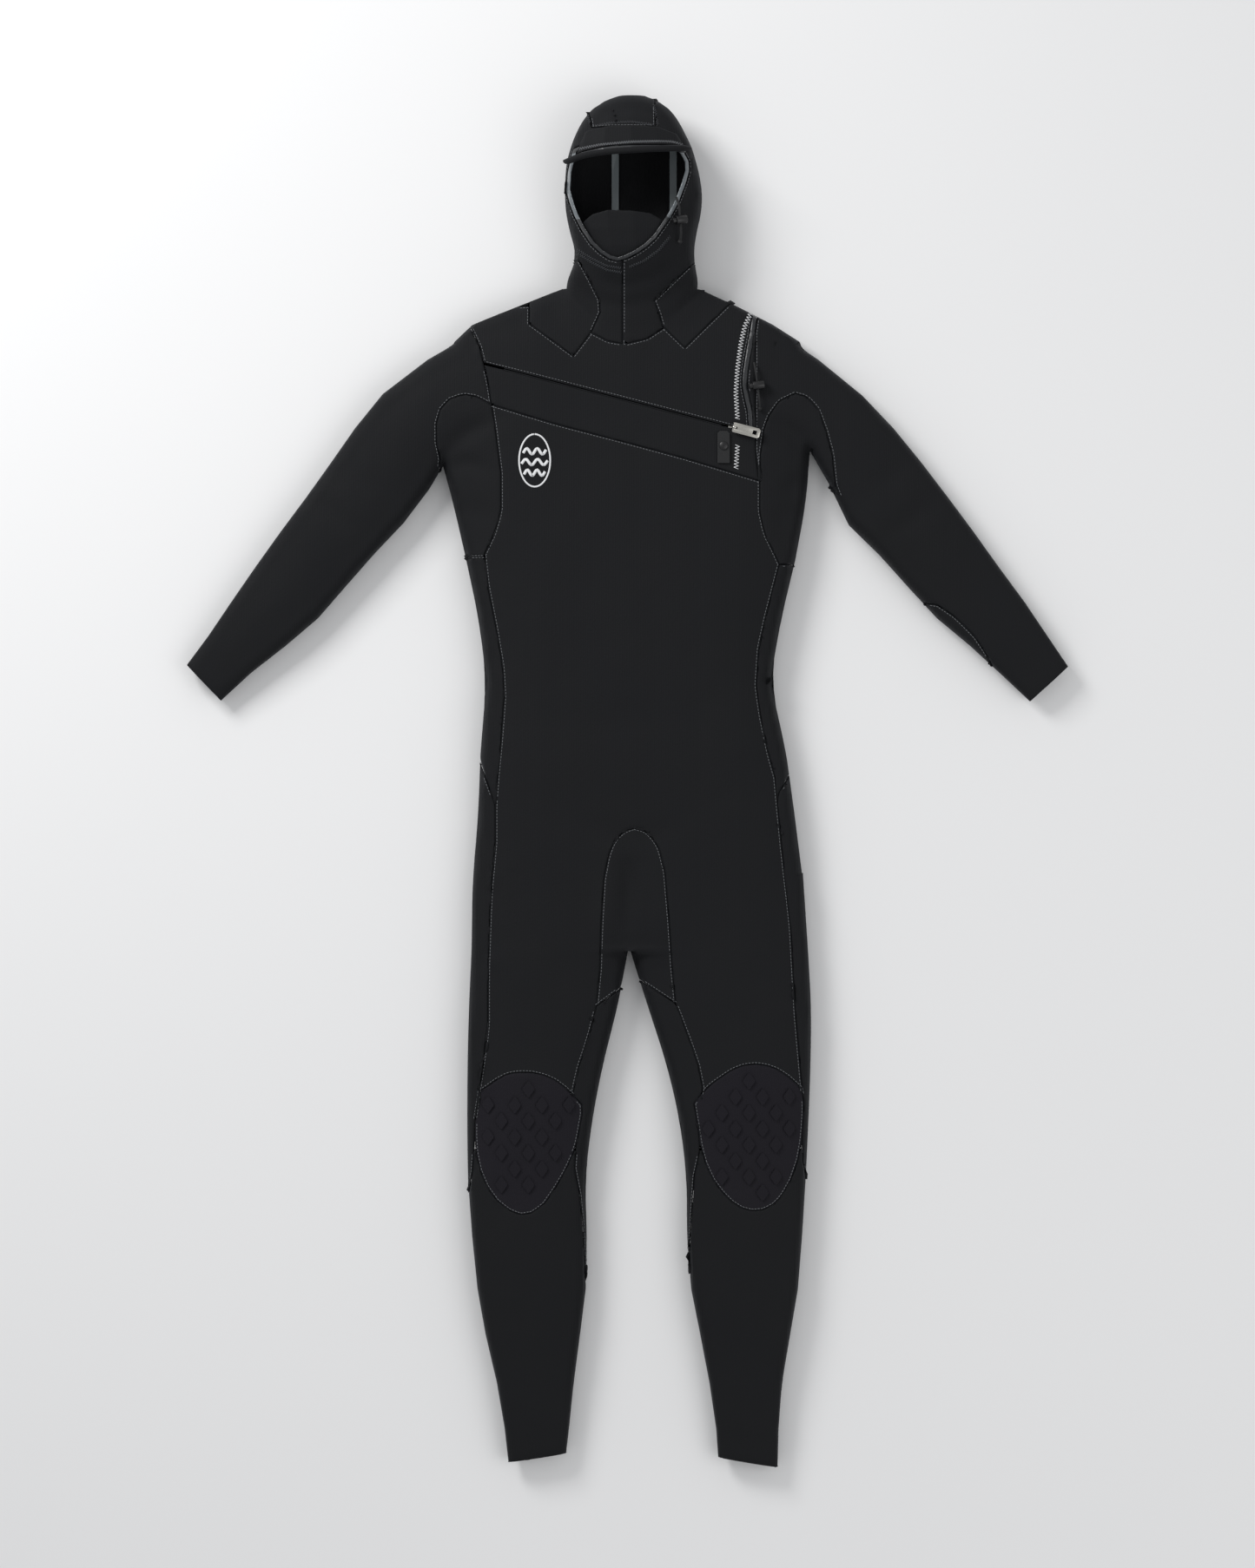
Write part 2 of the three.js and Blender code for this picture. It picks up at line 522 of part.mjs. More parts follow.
const yokeEdge = curve(YOKE_EDGE);
const YOKE_BINDING_WIDTH = 7;
const yokeBinding = closed(yokeEdge, yokeEdge.toReversed().map((p) => p.clone()
  .sub(new THREE.Vector2(YOKE_BINDING_WIDTH, 0))));
const aboveZip = prism([...lip(-LIP_GAP / 2), ...corners([[-260, 800], [260, 800]])], FRONT);
const yokeOutline = closed(curve(RAGLAN_RIGHT), corners([[-160, 400], [155, 400]]), yokeEdge.toReversed());
const chest = cloth.intersect(prism(inward(yokeBinding, SEAM_GAP / 2), FRONT)).intersect(aboveZip);
panel("yoke_edge_binding", withoutOffcuts(chest), smoothSkin);
cloth = cloth.subtract(prism(yokeBinding, FRONT).intersect(aboveZip));
const yoke = cloth.intersect(prism(inward(yokeOutline, SEAM_GAP), FRONT)).intersect(aboveZip);
cloth = cloth.subtract(prism(yokeOutline, FRONT).intersect(aboveZip));
panel("chest_yoke", withoutOffcuts(yoke));
cloth = cloth.subtract(prism([...lip(-LIP_GAP / 2), ...lip(LIP_GAP / 2).toReversed()], FRONT)
  .intersect(prism(closed(curve(RAGLAN_RIGHT), corners([[-166, 430], [155, 400], [155, 620]])), FRONT)));
panel("zip_placket", cut(closed(curve(FLAP_SEAM), corners([[156, 405], [156, 560]]), curve(RAGLAN_RIGHT).slice(0, -1))));

panel("side_panel_right", cut(closed(curve(SIDE_RIGHT), corners([[-194, 64], [-240, 64], [-225, 277]])),
  WRAP));
panel("side_panel_left", cut(closed(curve(SIDE_LEFT), corners([[214, 36], [260, 36], [245, 268]])), WRAP));
panel("leg_side_right", cut(closed(curve(THIGH_RIGHT), corners([[-240, -520], [-240, 100], [-190, 53]])),
  WRAP));
panel("leg_side_left", cut(closed(curve(THIGH_LEFT), corners([[270, -515], [270, 100], [211, 31]])), WRAP));
panel("crotch_gusset", cut(closed(curve(CROTCH), corners([[17, -242], [2, -233], [-9, -251]])), WRAP));
panel("leg_inner_right", cut(closed(curve(INNER_RIGHT),
  corners([[4, -640], [6, -400], [5, -300], [3, -236], [-9, -251]])), WRAP));
panel("leg_inner_left", cut(closed(curve(INNER_LEFT),
  corners([[20, -640], [12, -400], [8, -300], [4, -236], [17, -242]])), WRAP));

const raglanLeft = closed(yokeEdge, corners([[157, 372], [161, 369]]));
const ROUND_SLEEVE_RIGHT = corners([[-180, 420], [-215, 330], [-480, 60], [-620, 150], [-300, 620]]);
const sleeveRight = closed(curve(RAGLAN_RIGHT), ROUND_SLEEVE_RIGHT);
panel("sleeve_front_right", cut(sleeveRight));
const forearmLeft = closed(curve(FOREARM_LEFT), corners([[440, 90], [330, 160], [300, 250]]));
const forearmRight = closed(curve(FOREARM_RIGHT), corners([[-440, 90], [-330, 160], [-300, 250]]));
panel("forearm_inset_left", cut(forearmLeft, FRONT));
panel("sleeve_front_left", cut(closed(raglanLeft,
  corners([[200, 400], [230, 330], [480, 60], [620, 150], [300, 620]]))));
const leg = (side) => (side < 0 ? [[-260, KNEE_LINE], [4, KNEE_LINE], [4, -900], [-260, -900]]
  : [[4, KNEE_LINE], [260, KNEE_LINE], [260, -900], [4, -900]]);
panel("shin_right", cut(corners(leg(-1))));
panel("shin_left", cut(corners(leg(1))));
panel("front_panel", cut(corners([[-260, 560], [260, 560], [260, -600], [-260, -600]])));

// ---------- Back of the body ----------
panel("forearm_inset_right", cut(forearmRight, BACK));
panel("sleeve_back_right", cut(sleeveRight, BACK));
const raglanBackLeft = [[201, 580], [191, 560], [178, 532], [168, 490], [163, 461]];
panel("sleeve_back_left", cut(closed(curve(raglanBackLeft),
  corners([[180, 420], [215, 330], [480, 60], [620, 150], [300, 620]])), BACK));
const band = (top, bottom, left = -260, right = 260) => corners([[left, top], [right, top], [right, bottom],
  [left, bottom]]);
panel("back_yoke", cut(band(640, BACK_YOKE_LINE), BACK));
panel("back_panel", cut(band(BACK_YOKE_LINE, SEAT_LINE), BACK));
panel("thigh_back_right", cut(band(SEAT_LINE, KNEE_LINE, -260, 4), BACK));
panel("thigh_back_left", cut(band(SEAT_LINE, KNEE_LINE, 4, 260), BACK));
panel("calf_right", cut(band(KNEE_LINE, -900, -260, 4), BACK));
panel("calf_left", cut(band(KNEE_LINE, -900, 4, 260), BACK));

// ---------- Heights on the suit ----------
const skin = new THREE.Mesh(geometryOf(outside));
const straightDown = new THREE.Vector3(0, 0, -1);
function heightAt({ x, y }) {
  const ray = new THREE.Raycaster(new THREE.Vector3(x, y, CEILING), straightDown);
  return ray.intersectObject(skin)[0].point.z;
}

// ---------- Zip ----------
// The zip's own frame: +X runs from the closed end to the open one, +Y towards the legs, +Z up.
const zip = new THREE.Group();
zip.position.set(ZIP_CLOSED.x, ZIP_CLOSED.y, 0);
zip.rotation.z = ZIP_ANGLE;
root.add(zip);

const TAPE_OVERRUN = 10;
const zipHeights = [];
for (let along = -TAPE_OVERRUN; along <= ZIP_LENGTH + TAPE_OVERRUN; along += TAPE_OVERRUN) {
  for (const aside of [-TAPE_REACH, 0, TAPE_REACH]) zipHeights.push(heightAt(onZip(along, aside)));
}
const zipRoof = Math.min(...zipHeights) - NEOPRENE; // underside of the cloth over the zip
const zipCrown = Math.max(...zipHeights);
const zipTop = zipRoof - 2 * RUNNING - SLIDER_PLATE; // upper side of the teeth
const toothEdge = LIP_GAP / 2 + TOOTH_WIDTH;

const acrossToX = new THREE.Matrix4().makeBasis(
  new THREE.Vector3(0, 1, 0), new THREE.Vector3(0, 0, 1), new THREE.Vector3(1, 0, 0));
const uprightXZ = new THREE.Matrix4().makeBasis(
  new THREE.Vector3(1, 0, 0), new THREE.Vector3(0, 0, 1), new THREE.Vector3(0, -1, 0));
const extruded = (points, depth, holes = []) => {
  const shape = new THREE.Shape(points.map(([x, y]) => new THREE.Vector2(x, y)));
  shape.holes.push(...holes);
  return new THREE.ExtrudeGeometry(shape, { depth, bevelEnabled: false, curveSegments: 6 });
};
const circleHole = (x, y, radius) => new THREE.Path().absarc(x, y, radius, 0, 2 * Math.PI, true);

const tapeLow = zipTop - TOOTH_HEIGHT / 2 - ZIP_TAPE / 2;
const tapeHigh = zipRoof - LAYER_GAP - ZIP_TAPE;
for (const [name, side] of [["upper", -1], ["lower", 1]]) {
  const tapeSection = [
    [toothEdge + SEAM_GAP, tapeLow], [SLIDER_WIDTH / 2 + 1, tapeLow], [TAPE_REACH - 4, tapeHigh],
      [TAPE_REACH, tapeHigh],
    [TAPE_REACH, tapeHigh + ZIP_TAPE], [TAPE_REACH - 4, tapeHigh + ZIP_TAPE],
    [SLIDER_WIDTH / 2 + 1, tapeLow + ZIP_TAPE], [toothEdge + SEAM_GAP, tapeLow + ZIP_TAPE],
  ].map(([y, z]) => [side * y, z]);
  const tape = extruded(tapeSection, ZIP_LENGTH + 2 * TAPE_OVERRUN).applyMatrix4(acrossToX);
  add(`zip_tape_${name}`, tape.translate(-TAPE_OVERRUN, 0, 0), webbing, zip);
  const teeth = add(`zip_teeth_${name}`, new THREE.BoxGeometry(ZIP_LENGTH, TOOTH_WIDTH, TOOTH_HEIGHT),
    corrosionProof, zip);
  teeth.position.set(ZIP_LENGTH / 2, side * (LIP_GAP + TOOTH_WIDTH) / 2, zipTop - TOOTH_HEIGHT / 2);
}
const STOP_LENGTH = 3;
const stop = add("zip_end_stop", new THREE.BoxGeometry(STOP_LENGTH, 2 * toothEdge, TOOTH_HEIGHT),
  corrosionProof, zip);
stop.position.set(-SLIDER_LENGTH / 2 - SEAM_GAP - STOP_LENGTH / 2, 0, zipTop - TOOTH_HEIGHT / 2);

const plate = (z) => solid(new THREE.BoxGeometry(SLIDER_LENGTH, SLIDER_WIDTH, SLIDER_PLATE)
  .translate(0, 0, z));
const plateTop = zipTop + RUNNING + SLIDER_PLATE;
const plateBottom = zipTop - TOOTH_HEIGHT - RUNNING - SLIDER_PLATE;
const EYE_RADIUS = 3;
const pinHeight = zipCrown + EYE_RADIUS;
const eyeArc = [];
for (let i = 0; i <= 6; i++) {
  const angle = (Math.PI * i) / 6;
  eyeArc.push([EYE_RADIUS * Math.cos(angle), pinHeight + EYE_RADIUS * Math.sin(angle)]);
}
const webOutline = [
  [-SLIDER_LENGTH / 2, plateBottom], [SLIDER_LENGTH / 2, plateBottom], [SLIDER_LENGTH / 2, plateTop],
  [EYE_RADIUS, plateTop], ...eyeArc, [-EYE_RADIUS, plateTop], [-SLIDER_LENGTH / 2, plateTop],
];
const web = extruded(webOutline, WEB, [circleHole(0, pinHeight, PIN_RADIUS + RUNNING)])
  .applyMatrix4(uprightXZ);
const sliderBody = plate(plateTop - SLIDER_PLATE / 2)
  .add(plate(plateBottom + SLIDER_PLATE / 2))
  .add(solid(web.translate(0, WEB / 2, 0)));
add("zip_slider", geometryOf(sliderBody), nickel, zip);

const pullPivot = new THREE.Group();
pullPivot.position.z = pinHeight;
pullPivot.rotation.y = -PULL_SLOPE;
zip.add(pullPivot);
const half = PULL_WIDTH / 2;
const fork = WEB / 2 + RUNNING;
const forkDepth = EYE_RADIUS + 2 * RUNNING;
const CHEEK = 1.8; // how far the pull's fork runs past its pin
const pullOutline = [
  [CHEEK, fork], [CHEEK, half - 1], [CHEEK - 1, half], [2 - PULL_LENGTH, half], [-PULL_LENGTH, half - 2],
  [-PULL_LENGTH, 2 - half], [2 - PULL_LENGTH, -half], [CHEEK - 1, -half], [CHEEK, 1 - half], [CHEEK, -fork],
  [-forkDepth, -fork], [-forkDepth, fork],
];
const gripHole = new THREE.Path([[9, 2.5], [9, -2.5], [4, -2.5], [4, 2.5]]
  .map(([x, y]) => new THREE.Vector2(x - PULL_LENGTH, y)));
const pullPlate = solid(extruded(pullOutline, PULL_THICKNESS, [gripHole])
  .translate(0, 0, -PULL_THICKNESS / 2));
const pin = solid(new THREE.CylinderGeometry(PIN_RADIUS, PIN_RADIUS, 2 * fork + 2, 10));
add("zip_pull", geometryOf(pullPlate.add(pin)), nickel, pullPivot);

const barrierHeights = [];
for (let along = -BARRIER_OVERRUN; along <= ZIP_LENGTH + BARRIER_OVERRUN; along += BARRIER_OVERRUN) {
  for (const aside of [-BARRIER_REACH, 0, BARRIER_REACH]) barrierHeights.push(heightAt(onZip(along,
    aside)));
}
const barrierDepth = Math.max(...barrierHeights) - plateBottom + BARRIER_CLEARANCE;
const barrierEnd = (along) => [onZip(along, -BARRIER_REACH), onZip(along, BARRIER_REACH)];
const barrierOutline = [
  ...barrierEnd(-BARRIER_OVERRUN),
  ...barrierEnd(ZIP_LENGTH + BARRIER_OVERRUN).toReversed(),
];
panel("zip_barrier", layer(torsoForm, barrierDepth, barrierDepth + BARRIER_THICKNESS, barrierOutline,
  FRONT));

// ---------- Snap tab ----------
const tabPivot = new THREE.Group();
const tabSeat = Math.max(...[-1, 1].flatMap((side) =>
  [0, TAB_LENGTH].map((y) => heightAt(TAB_SEAM.clone()
    .add(new THREE.Vector2((side * TAB_WIDTH) / 2, y)))))) + LAYER_GAP;
tabPivot.position.set(TAB_SEAM.x, TAB_SEAM.y, tabSeat);
root.add(tabPivot);
const tw = TAB_WIDTH / 2;
const tabOutline = [[-tw, TAB_ROOT], [tw, TAB_ROOT], [tw, TAB_LENGTH - 3], [tw - 3, TAB_LENGTH],
  [3 - tw, TAB_LENGTH], [-tw, TAB_LENGTH - 3]];
const tabHole = circleHole(0, SNAP_PLACE, SOCKET_RADIUS + RUNNING);
add("snap_tab", extruded(tabOutline, TAB_THICKNESS, [tabHole]), webbing, tabPivot);

const turned = (profile, segments) =>
  new THREE.LatheGeometry(profile.map(([r, z]) => new THREE.Vector2(r, z)), segments).rotateX(Math.PI / 2);
const capUnder = TAB_THICKNESS + SEAM_GAP / 2;
const ringInside = SOCKET_RADIUS - SOCKET_WALL;
const cap = turned([
  [0, capUnder], [ringInside, capUnder], [ringInside, 0.2], [SOCKET_RADIUS, 0.2], [SOCKET_RADIUS, capUnder],
  [SNAP_RADIUS, capUnder], [SNAP_RADIUS, capUnder + SNAP_HEIGHT / 2],
    [SNAP_RADIUS - 1.2, capUnder + SNAP_HEIGHT],
  [0, capUnder + SNAP_HEIGHT],
], 14);
add("snap_cap", cap.translate(0, SNAP_PLACE, 0), plastic, tabPivot);
const studTop = heightAt(SNAP_CENTRE);
const flange = studTop - NEOPRENE - LAYER_GAP;
const stud = turned([
  [0, flange - 1], [SNAP_RADIUS - 1, flange - 1], [SNAP_RADIUS - 1, flange], [POST_RADIUS, flange],
  [POST_RADIUS, studTop + RUNNING], [ringInside - RUNNING, studTop + RUNNING],
  [ringInside - RUNNING, tabSeat + TAB_THICKNESS - 0.4], [0, tabSeat + TAB_THICKNESS - 0.4],
], 14);
add("snap_stud", stud.translate(SNAP_CENTRE.x, SNAP_CENTRE.y, 0), plastic);

// ---------- Cord locks ----------
// A spring-loaded plunger in a barrel grips the cord that crosses both. In the lock's own frame the plunger moves
// along X and the cord runs along Y.
const BARREL_LENGTH = 14;
const BARREL_END = -8; // closed end of the barrel; the cord crosses at zero
const PLUNGER_END = -2.8;
const PLUNGER_LENGTH = 13;
const SPRING_TURNS = 3;
const SPRING_WIRE = 0.4;
const boreRadius = CORD_RADIUS + BORE_CLEARANCE;
const turnedX = (profile, segments) =>
  new THREE.LatheGeometry(profile.map(([r, x]) => new THREE.Vector2(r, x)), segments).rotateZ(-Math.PI / 2);

function surfaceFrame(from, to) {
  const middle = from.clone().add(to).multiplyScalar(0.5);
  const on = (p) => new THREE.Vector3(p.x, p.y, heightAt(p));
  const run = on(to).sub(on(from)).normalize();
  const sideways = new THREE.Vector2(to.y - from.y, from.x - to.x).normalize()
    .multiplyScalar(LOCK_LENGTH / 2);
  const slope = on(middle.clone().add(sideways)).sub(on(middle.clone().sub(sideways))).normalize();
  const normal = slope.clone().cross(run).normalize();
  const across = run.clone().cross(normal);
  return { on, middle: on(middle), run, normal, across };
}

function cordLock(name, from, to) {
  const { on, middle, run, normal, across } = surfaceFrame(from, to);
  const lock = new THREE.Group();
  const centreOfLock = middle.clone().addScaledVector(normal, LOCK_RADIUS + LOCK_CLEARANCE);
  lock.position.copy(centreOfLock);
  lock.quaternion.setFromRotationMatrix(new THREE.Matrix4().makeBasis(across, run, normal));
  root.add(lock);
  const cavity = LOCK_RADIUS - BARREL_WALL;
  const floor = BARREL_END + BARREL_WALL;
  const mouth = BARREL_END + BARREL_LENGTH;
  const barrel = solid(turnedX([[0, BARREL_END], [LOCK_RADIUS, BARREL_END], [LOCK_RADIUS, mouth],
    [cavity, mouth],
    [cavity, floor], [0, floor]], 14));
  const bore = solid(new THREE.CylinderGeometry(boreRadius, boreRadius, 3 * LOCK_RADIUS, 10));
  add(`${name}_barrel`, geometryOf(barrel.subtract(bore)), plastic, lock);
  const plunger = solid(turnedX([[0, PLUNGER_END], [PLUNGER_RADIUS, PLUNGER_END],
    [PLUNGER_RADIUS, PLUNGER_END + PLUNGER_LENGTH], [0, PLUNGER_END + PLUNGER_LENGTH]], 14));
  const slotLength = 2 * boreRadius + PLUNGER_TRAVEL;
  const slot = solid(new THREE.BoxGeometry(slotLength, 3 * LOCK_RADIUS, 2 * boreRadius)
    .translate(slotLength / 2 - boreRadius, 0, 0));
  add(`${name}_plunger`, geometryOf(plunger.subtract(slot)), plastic, lock);
  const coil = [];
  const coilSpan = PLUNGER_END - floor - 2 * SPRING_WIRE - 2 * SEAM_GAP;
  for (let i = 0; i <= 8 * SPRING_TURNS; i++) {
    const angle = (Math.PI * i) / 4;
    const x = floor + SPRING_WIRE + SEAM_GAP + (coilSpan * i) / (8 * SPRING_TURNS);
    coil.push(new THREE.Vector3(x, (PLUNGER_RADIUS - 1) * Math.cos(angle),
      (PLUNGER_RADIUS - 1) * Math.sin(angle)));
  }
  add(`${name}_spring`, tube(new THREE.CatmullRomCurve3(coil), SPRING_WIRE, 5, 8 * SPRING_TURNS), nickel,
    lock);

  const alongRun = (distance) => centreOfLock.clone().addScaledVector(run, distance);
  const start = on(from).addScaledVector(normal, CORD_RADIUS + LAYER_GAP);
  const end = on(to).addScaledVector(normal, KNOT_RADIUS + LAYER_GAP);
  const straight = LOCK_RADIUS + LOCK_TRAVEL + 2;
  const path = new THREE.CurvePath();
  path.add(new THREE.QuadraticBezierCurve3(start, alongRun(-straight - 5), alongRun(-straight)));
  path.add(new THREE.LineCurve3(alongRun(-straight), alongRun(straight)));
  path.add(new THREE.QuadraticBezierCurve3(alongRun(straight), alongRun(straight + 5), end));
  const knot = new THREE.SphereGeometry(KNOT_RADIUS, 8, 6).translate(end.x, end.y, end.z);
  const cord = solid(tube(path, CORD_RADIUS, 8, 16)).add(solid(knot));
  add(name.replace("_lock", ""), geometryOf(cord), webbing);
}

function tube(path, radius, sides, steps) {
  const ring = [];
  for (let i = 0; i < sides; i++) {
    const angle = (2 * Math.PI * i) / sides;
    ring.push(new THREE.Vector2(radius * Math.cos(angle), radius * Math.sin(angle)));
  }
  return new THREE.ExtrudeGeometry(new THREE.Shape(ring), { extrudePath: path, steps,
    bevelEnabled: false });
}

cordLock("shoulder_cord_lock", grade([154, 512]), grade([161, 456]));
cordLock("hood_cord_lock", grade([58, 708]), grade([62, 656]));

export default root;
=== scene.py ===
# %% [markdown]
# # A hooded full wetsuit, laid flat on its back
#
# The suit is sewn from thirty-five panels of neoprene, a foam sheet with knitted nylon jersey on both sides.
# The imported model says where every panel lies. Here each panel gets its own cloth, which rolls down into the
# seams and is soft between them. Thread, tape, cords and fittings follow.

# %% The frame
import json
import math

import bmesh
import bpy
import numpy as np
from mathutils import Matrix, Vector, noise
from mathutils.bvhtree import BVHTree

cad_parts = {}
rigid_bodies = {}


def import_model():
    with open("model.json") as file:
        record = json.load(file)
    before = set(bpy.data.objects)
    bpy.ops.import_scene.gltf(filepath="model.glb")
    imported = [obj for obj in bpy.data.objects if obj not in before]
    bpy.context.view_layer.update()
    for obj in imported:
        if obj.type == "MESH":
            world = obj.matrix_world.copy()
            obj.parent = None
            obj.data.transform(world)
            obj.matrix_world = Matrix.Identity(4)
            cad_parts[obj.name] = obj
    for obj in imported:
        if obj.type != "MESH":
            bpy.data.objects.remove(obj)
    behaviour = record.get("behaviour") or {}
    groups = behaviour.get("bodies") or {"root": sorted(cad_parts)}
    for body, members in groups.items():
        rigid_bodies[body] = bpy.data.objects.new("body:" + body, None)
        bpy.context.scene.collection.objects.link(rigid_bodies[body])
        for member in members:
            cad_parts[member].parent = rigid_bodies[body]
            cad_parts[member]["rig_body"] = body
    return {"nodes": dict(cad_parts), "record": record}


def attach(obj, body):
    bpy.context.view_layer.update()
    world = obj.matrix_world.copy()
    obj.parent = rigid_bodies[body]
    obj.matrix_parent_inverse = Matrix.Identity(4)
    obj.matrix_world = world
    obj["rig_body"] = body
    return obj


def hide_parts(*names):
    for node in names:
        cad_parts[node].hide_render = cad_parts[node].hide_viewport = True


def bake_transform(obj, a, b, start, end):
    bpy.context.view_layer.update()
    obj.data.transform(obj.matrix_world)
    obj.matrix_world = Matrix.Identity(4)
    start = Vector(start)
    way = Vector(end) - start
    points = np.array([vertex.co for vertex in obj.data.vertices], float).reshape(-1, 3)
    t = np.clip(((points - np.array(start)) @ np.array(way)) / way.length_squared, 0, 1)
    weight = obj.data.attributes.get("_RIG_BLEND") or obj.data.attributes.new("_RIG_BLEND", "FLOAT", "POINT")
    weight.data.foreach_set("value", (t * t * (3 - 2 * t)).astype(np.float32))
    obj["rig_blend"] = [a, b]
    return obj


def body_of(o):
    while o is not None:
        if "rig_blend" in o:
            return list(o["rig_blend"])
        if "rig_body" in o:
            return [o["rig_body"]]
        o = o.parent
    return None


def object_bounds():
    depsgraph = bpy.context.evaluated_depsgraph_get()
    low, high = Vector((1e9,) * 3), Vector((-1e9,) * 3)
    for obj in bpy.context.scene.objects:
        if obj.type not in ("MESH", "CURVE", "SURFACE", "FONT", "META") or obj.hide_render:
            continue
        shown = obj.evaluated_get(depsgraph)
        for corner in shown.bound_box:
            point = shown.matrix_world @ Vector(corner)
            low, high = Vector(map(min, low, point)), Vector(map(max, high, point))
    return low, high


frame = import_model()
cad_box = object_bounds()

MM = 0.001
nodes = frame["nodes"]
slot_of = {part["node"]: part["material_slot"] for part in frame["record"]["subparts"]}
print(len(nodes), "pieces in the frame,", [round(v, 3) for v in cad_box[1]])

# %% [markdown]
# ## Camera
#
# The suit is seen from straight above. A long lens far away keeps the hood, which stands higher than the
# cuffs, from looking too large. The view is a little larger than the suit on every side.

# %% The camera
LENS = 100
SENSOR = 36
VIEW_HEIGHT = 1914 * MM
AIM_HEIGHT = 40 * MM # the middle of the suit's thickness
eye = Vector((0, -1 * MM, VIEW_HEIGHT * LENS / SENSOR + AIM_HEIGHT))
camera_data = bpy.data.cameras.new("overhead_camera")
camera_data.lens = LENS
camera_data.sensor_width = SENSOR
camera = bpy.data.objects.new("overhead_camera", camera_data)
camera.location = eye
bpy.context.collection.objects.link(camera)
bpy.context.scene.camera = camera
bpy.context.scene.view_settings.view_transform = "Standard"
print("camera", round(eye.z, 3), "m above the floor")

# %% [markdown]
# ## Finishes
#
# Two small functions serve every finish: one turns a paint-shop colour into the linear light that shaders add
# up, and one adds a shader node, sets it and wires it. A value that is a socket is wired; any other value is
# set.

# %% Colour and node helpers
def linear(colour):
    channels = [int(colour[i:i + 2], 16) / 255 for i in (1, 3, 5)]
    return tuple(c / 12.92 if c <= 0.04045 else ((c + 0.055) / 1.055) ** 2.4 for c in channels) + (1,)


def add_node(material, kind, settings=None, **inputs):
    node = material.node_tree.nodes.new("ShaderNode" + kind)
    for name, value in (settings or {}).items():
        setattr(node, name, value)
    for name, value in inputs.items():
        socket = node.inputs[int(name[1:]) if name[0] == "_" else name.replace("_", " ")]
        if isinstance(value, bpy.types.NodeSocket):
            material.node_tree.links.new(value, socket)
        else:
            socket.default_value = value
    return node


def finish(name, colour, roughness, metallic=0, **extra):
    material = bpy.data.materials.new(name)
    material.use_nodes = True
    material.diffuse_color = linear(colour)
    shader = material.node_tree.nodes["Principled BSDF"]
    shader.inputs["Base Color"].default_value = linear(colour)
    shader.inputs["Roughness"].default_value = roughness
    shader.inputs["Metallic"].default_value = metallic
    for socket, value in extra.items():
        shader.inputs[socket.replace("_", " ")].default_value = value
    return material, shader

# %% [markdown]
# Neoprene jersey is a fine weft knit. The loops are about 0.6 mm apart, finer than a picture of the whole
# suit can show, so the ribs are drawn 1.4 mm apart. The dye is even, but rubbing lifts the pile, so broad
# soft patches differ a little in tone and roughness. A low sheen stands for the fuzz of the yarn, which
# brightens edges seen at a slant.

# %% Knitted neoprene
RIB = 1.4 * MM
WOVEN_GLOSS = 0.78
PATCHES_PER_METRE = 14.0


def jersey(name, dark, light, sheen, grain):
    material, shader = finish(name, dark, WOVEN_GLOSS, Sheen_Weight=sheen, Sheen_Roughness=0.45,
                              Sheen_Tint=linear("#AEB4C0"), Specular_IOR_Level=0.22)
    links = material.node_tree.links
    place = add_node(material, "TexCoord").outputs["Object"]
    patches = add_node(material, "TexNoise", Vector=place, Scale=PATCHES_PER_METRE, Detail=3.0)
    tone = add_node(material, "Mix", {"data_type": "RGBA"}, _0=patches.outputs["Fac"], _6=linear(dark),
                    _7=linear(light))
    links.new(tone.outputs[2], shader.inputs["Base Color"])
    worn = add_node(material, "MapRange", Value=patches.outputs["Fac"], To_Min=0.7, To_Max=0.86)
    links.new(worn.outputs["Result"], shader.inputs["Roughness"])
    bands = 1 / (RIB * 20) * math.pi # a wave texture draws 20 / (2 pi) bands for each unit of its scale
    ribs = add_node(material, "TexWave", {"bands_direction": "X"}, Vector=place, Scale=bands, Distortion=1.2,
                    Detail=1.0)
    fuzz = add_node(material, "TexNoise", Vector=place, Scale=1 / (2 * RIB), Detail=4.0)
    knit = add_node(material, "Math", {"operation": "MULTIPLY_ADD"}, _0=ribs.outputs["Fac"], _1=0.35,
                    _2=fuzz.outputs["Fac"])
    bump = add_node(material, "Bump", Height=knit.outputs["Value"], Strength=grain, Distance=0.5 * MM)
    links.new(bump.outputs["Normal"], shader.inputs["Normal"])
    return material


neoprene = jersey("knitted_neoprene_jersey", "#0B0C0E", "#121316", 0.05, 0.6)
knee_jersey = jersey("abrasion_proof_knee_jersey", "#0F0D13", "#16141B", 0.07, 0.9)
lining = jersey("brushed_inner_jersey", "#08090A", "#0E0F11", 0.05, 0.8)
print("knitted finishes ready")

# %% [markdown]
# The other finishes are plain colours with a grain. Moulded plastic has a fine eroded texture of about half a
# millimetre. Plated zinc is polished and then handled, so its gloss varies. Thread and webbing are finer
# grained.

# %% Smooth skin, tape, thread, webbing, plastic and metal
def grained(name, colour, roughness, grain, depth, metallic=0, **extra):
    """A finish whose gloss and height vary over grain metres."""
    material, shader = finish(name, colour, roughness, metallic, **extra)
    links = material.node_tree.links
    place = add_node(material, "TexCoord").outputs["Object"]
    specks = add_node(material, "TexNoise", Vector=place, Scale=1 / grain, Detail=3.0)
    gloss = add_node(material, "MapRange", Value=specks.outputs["Fac"], To_Min=roughness - 0.08,
                     To_Max=roughness + 0.1)
    links.new(gloss.outputs["Result"], shader.inputs["Roughness"])
    bump = add_node(material, "Bump", Height=specks.outputs["Fac"], Strength=0.4, Distance=depth)
    links.new(bump.outputs["Normal"], shader.inputs["Normal"])
    return material


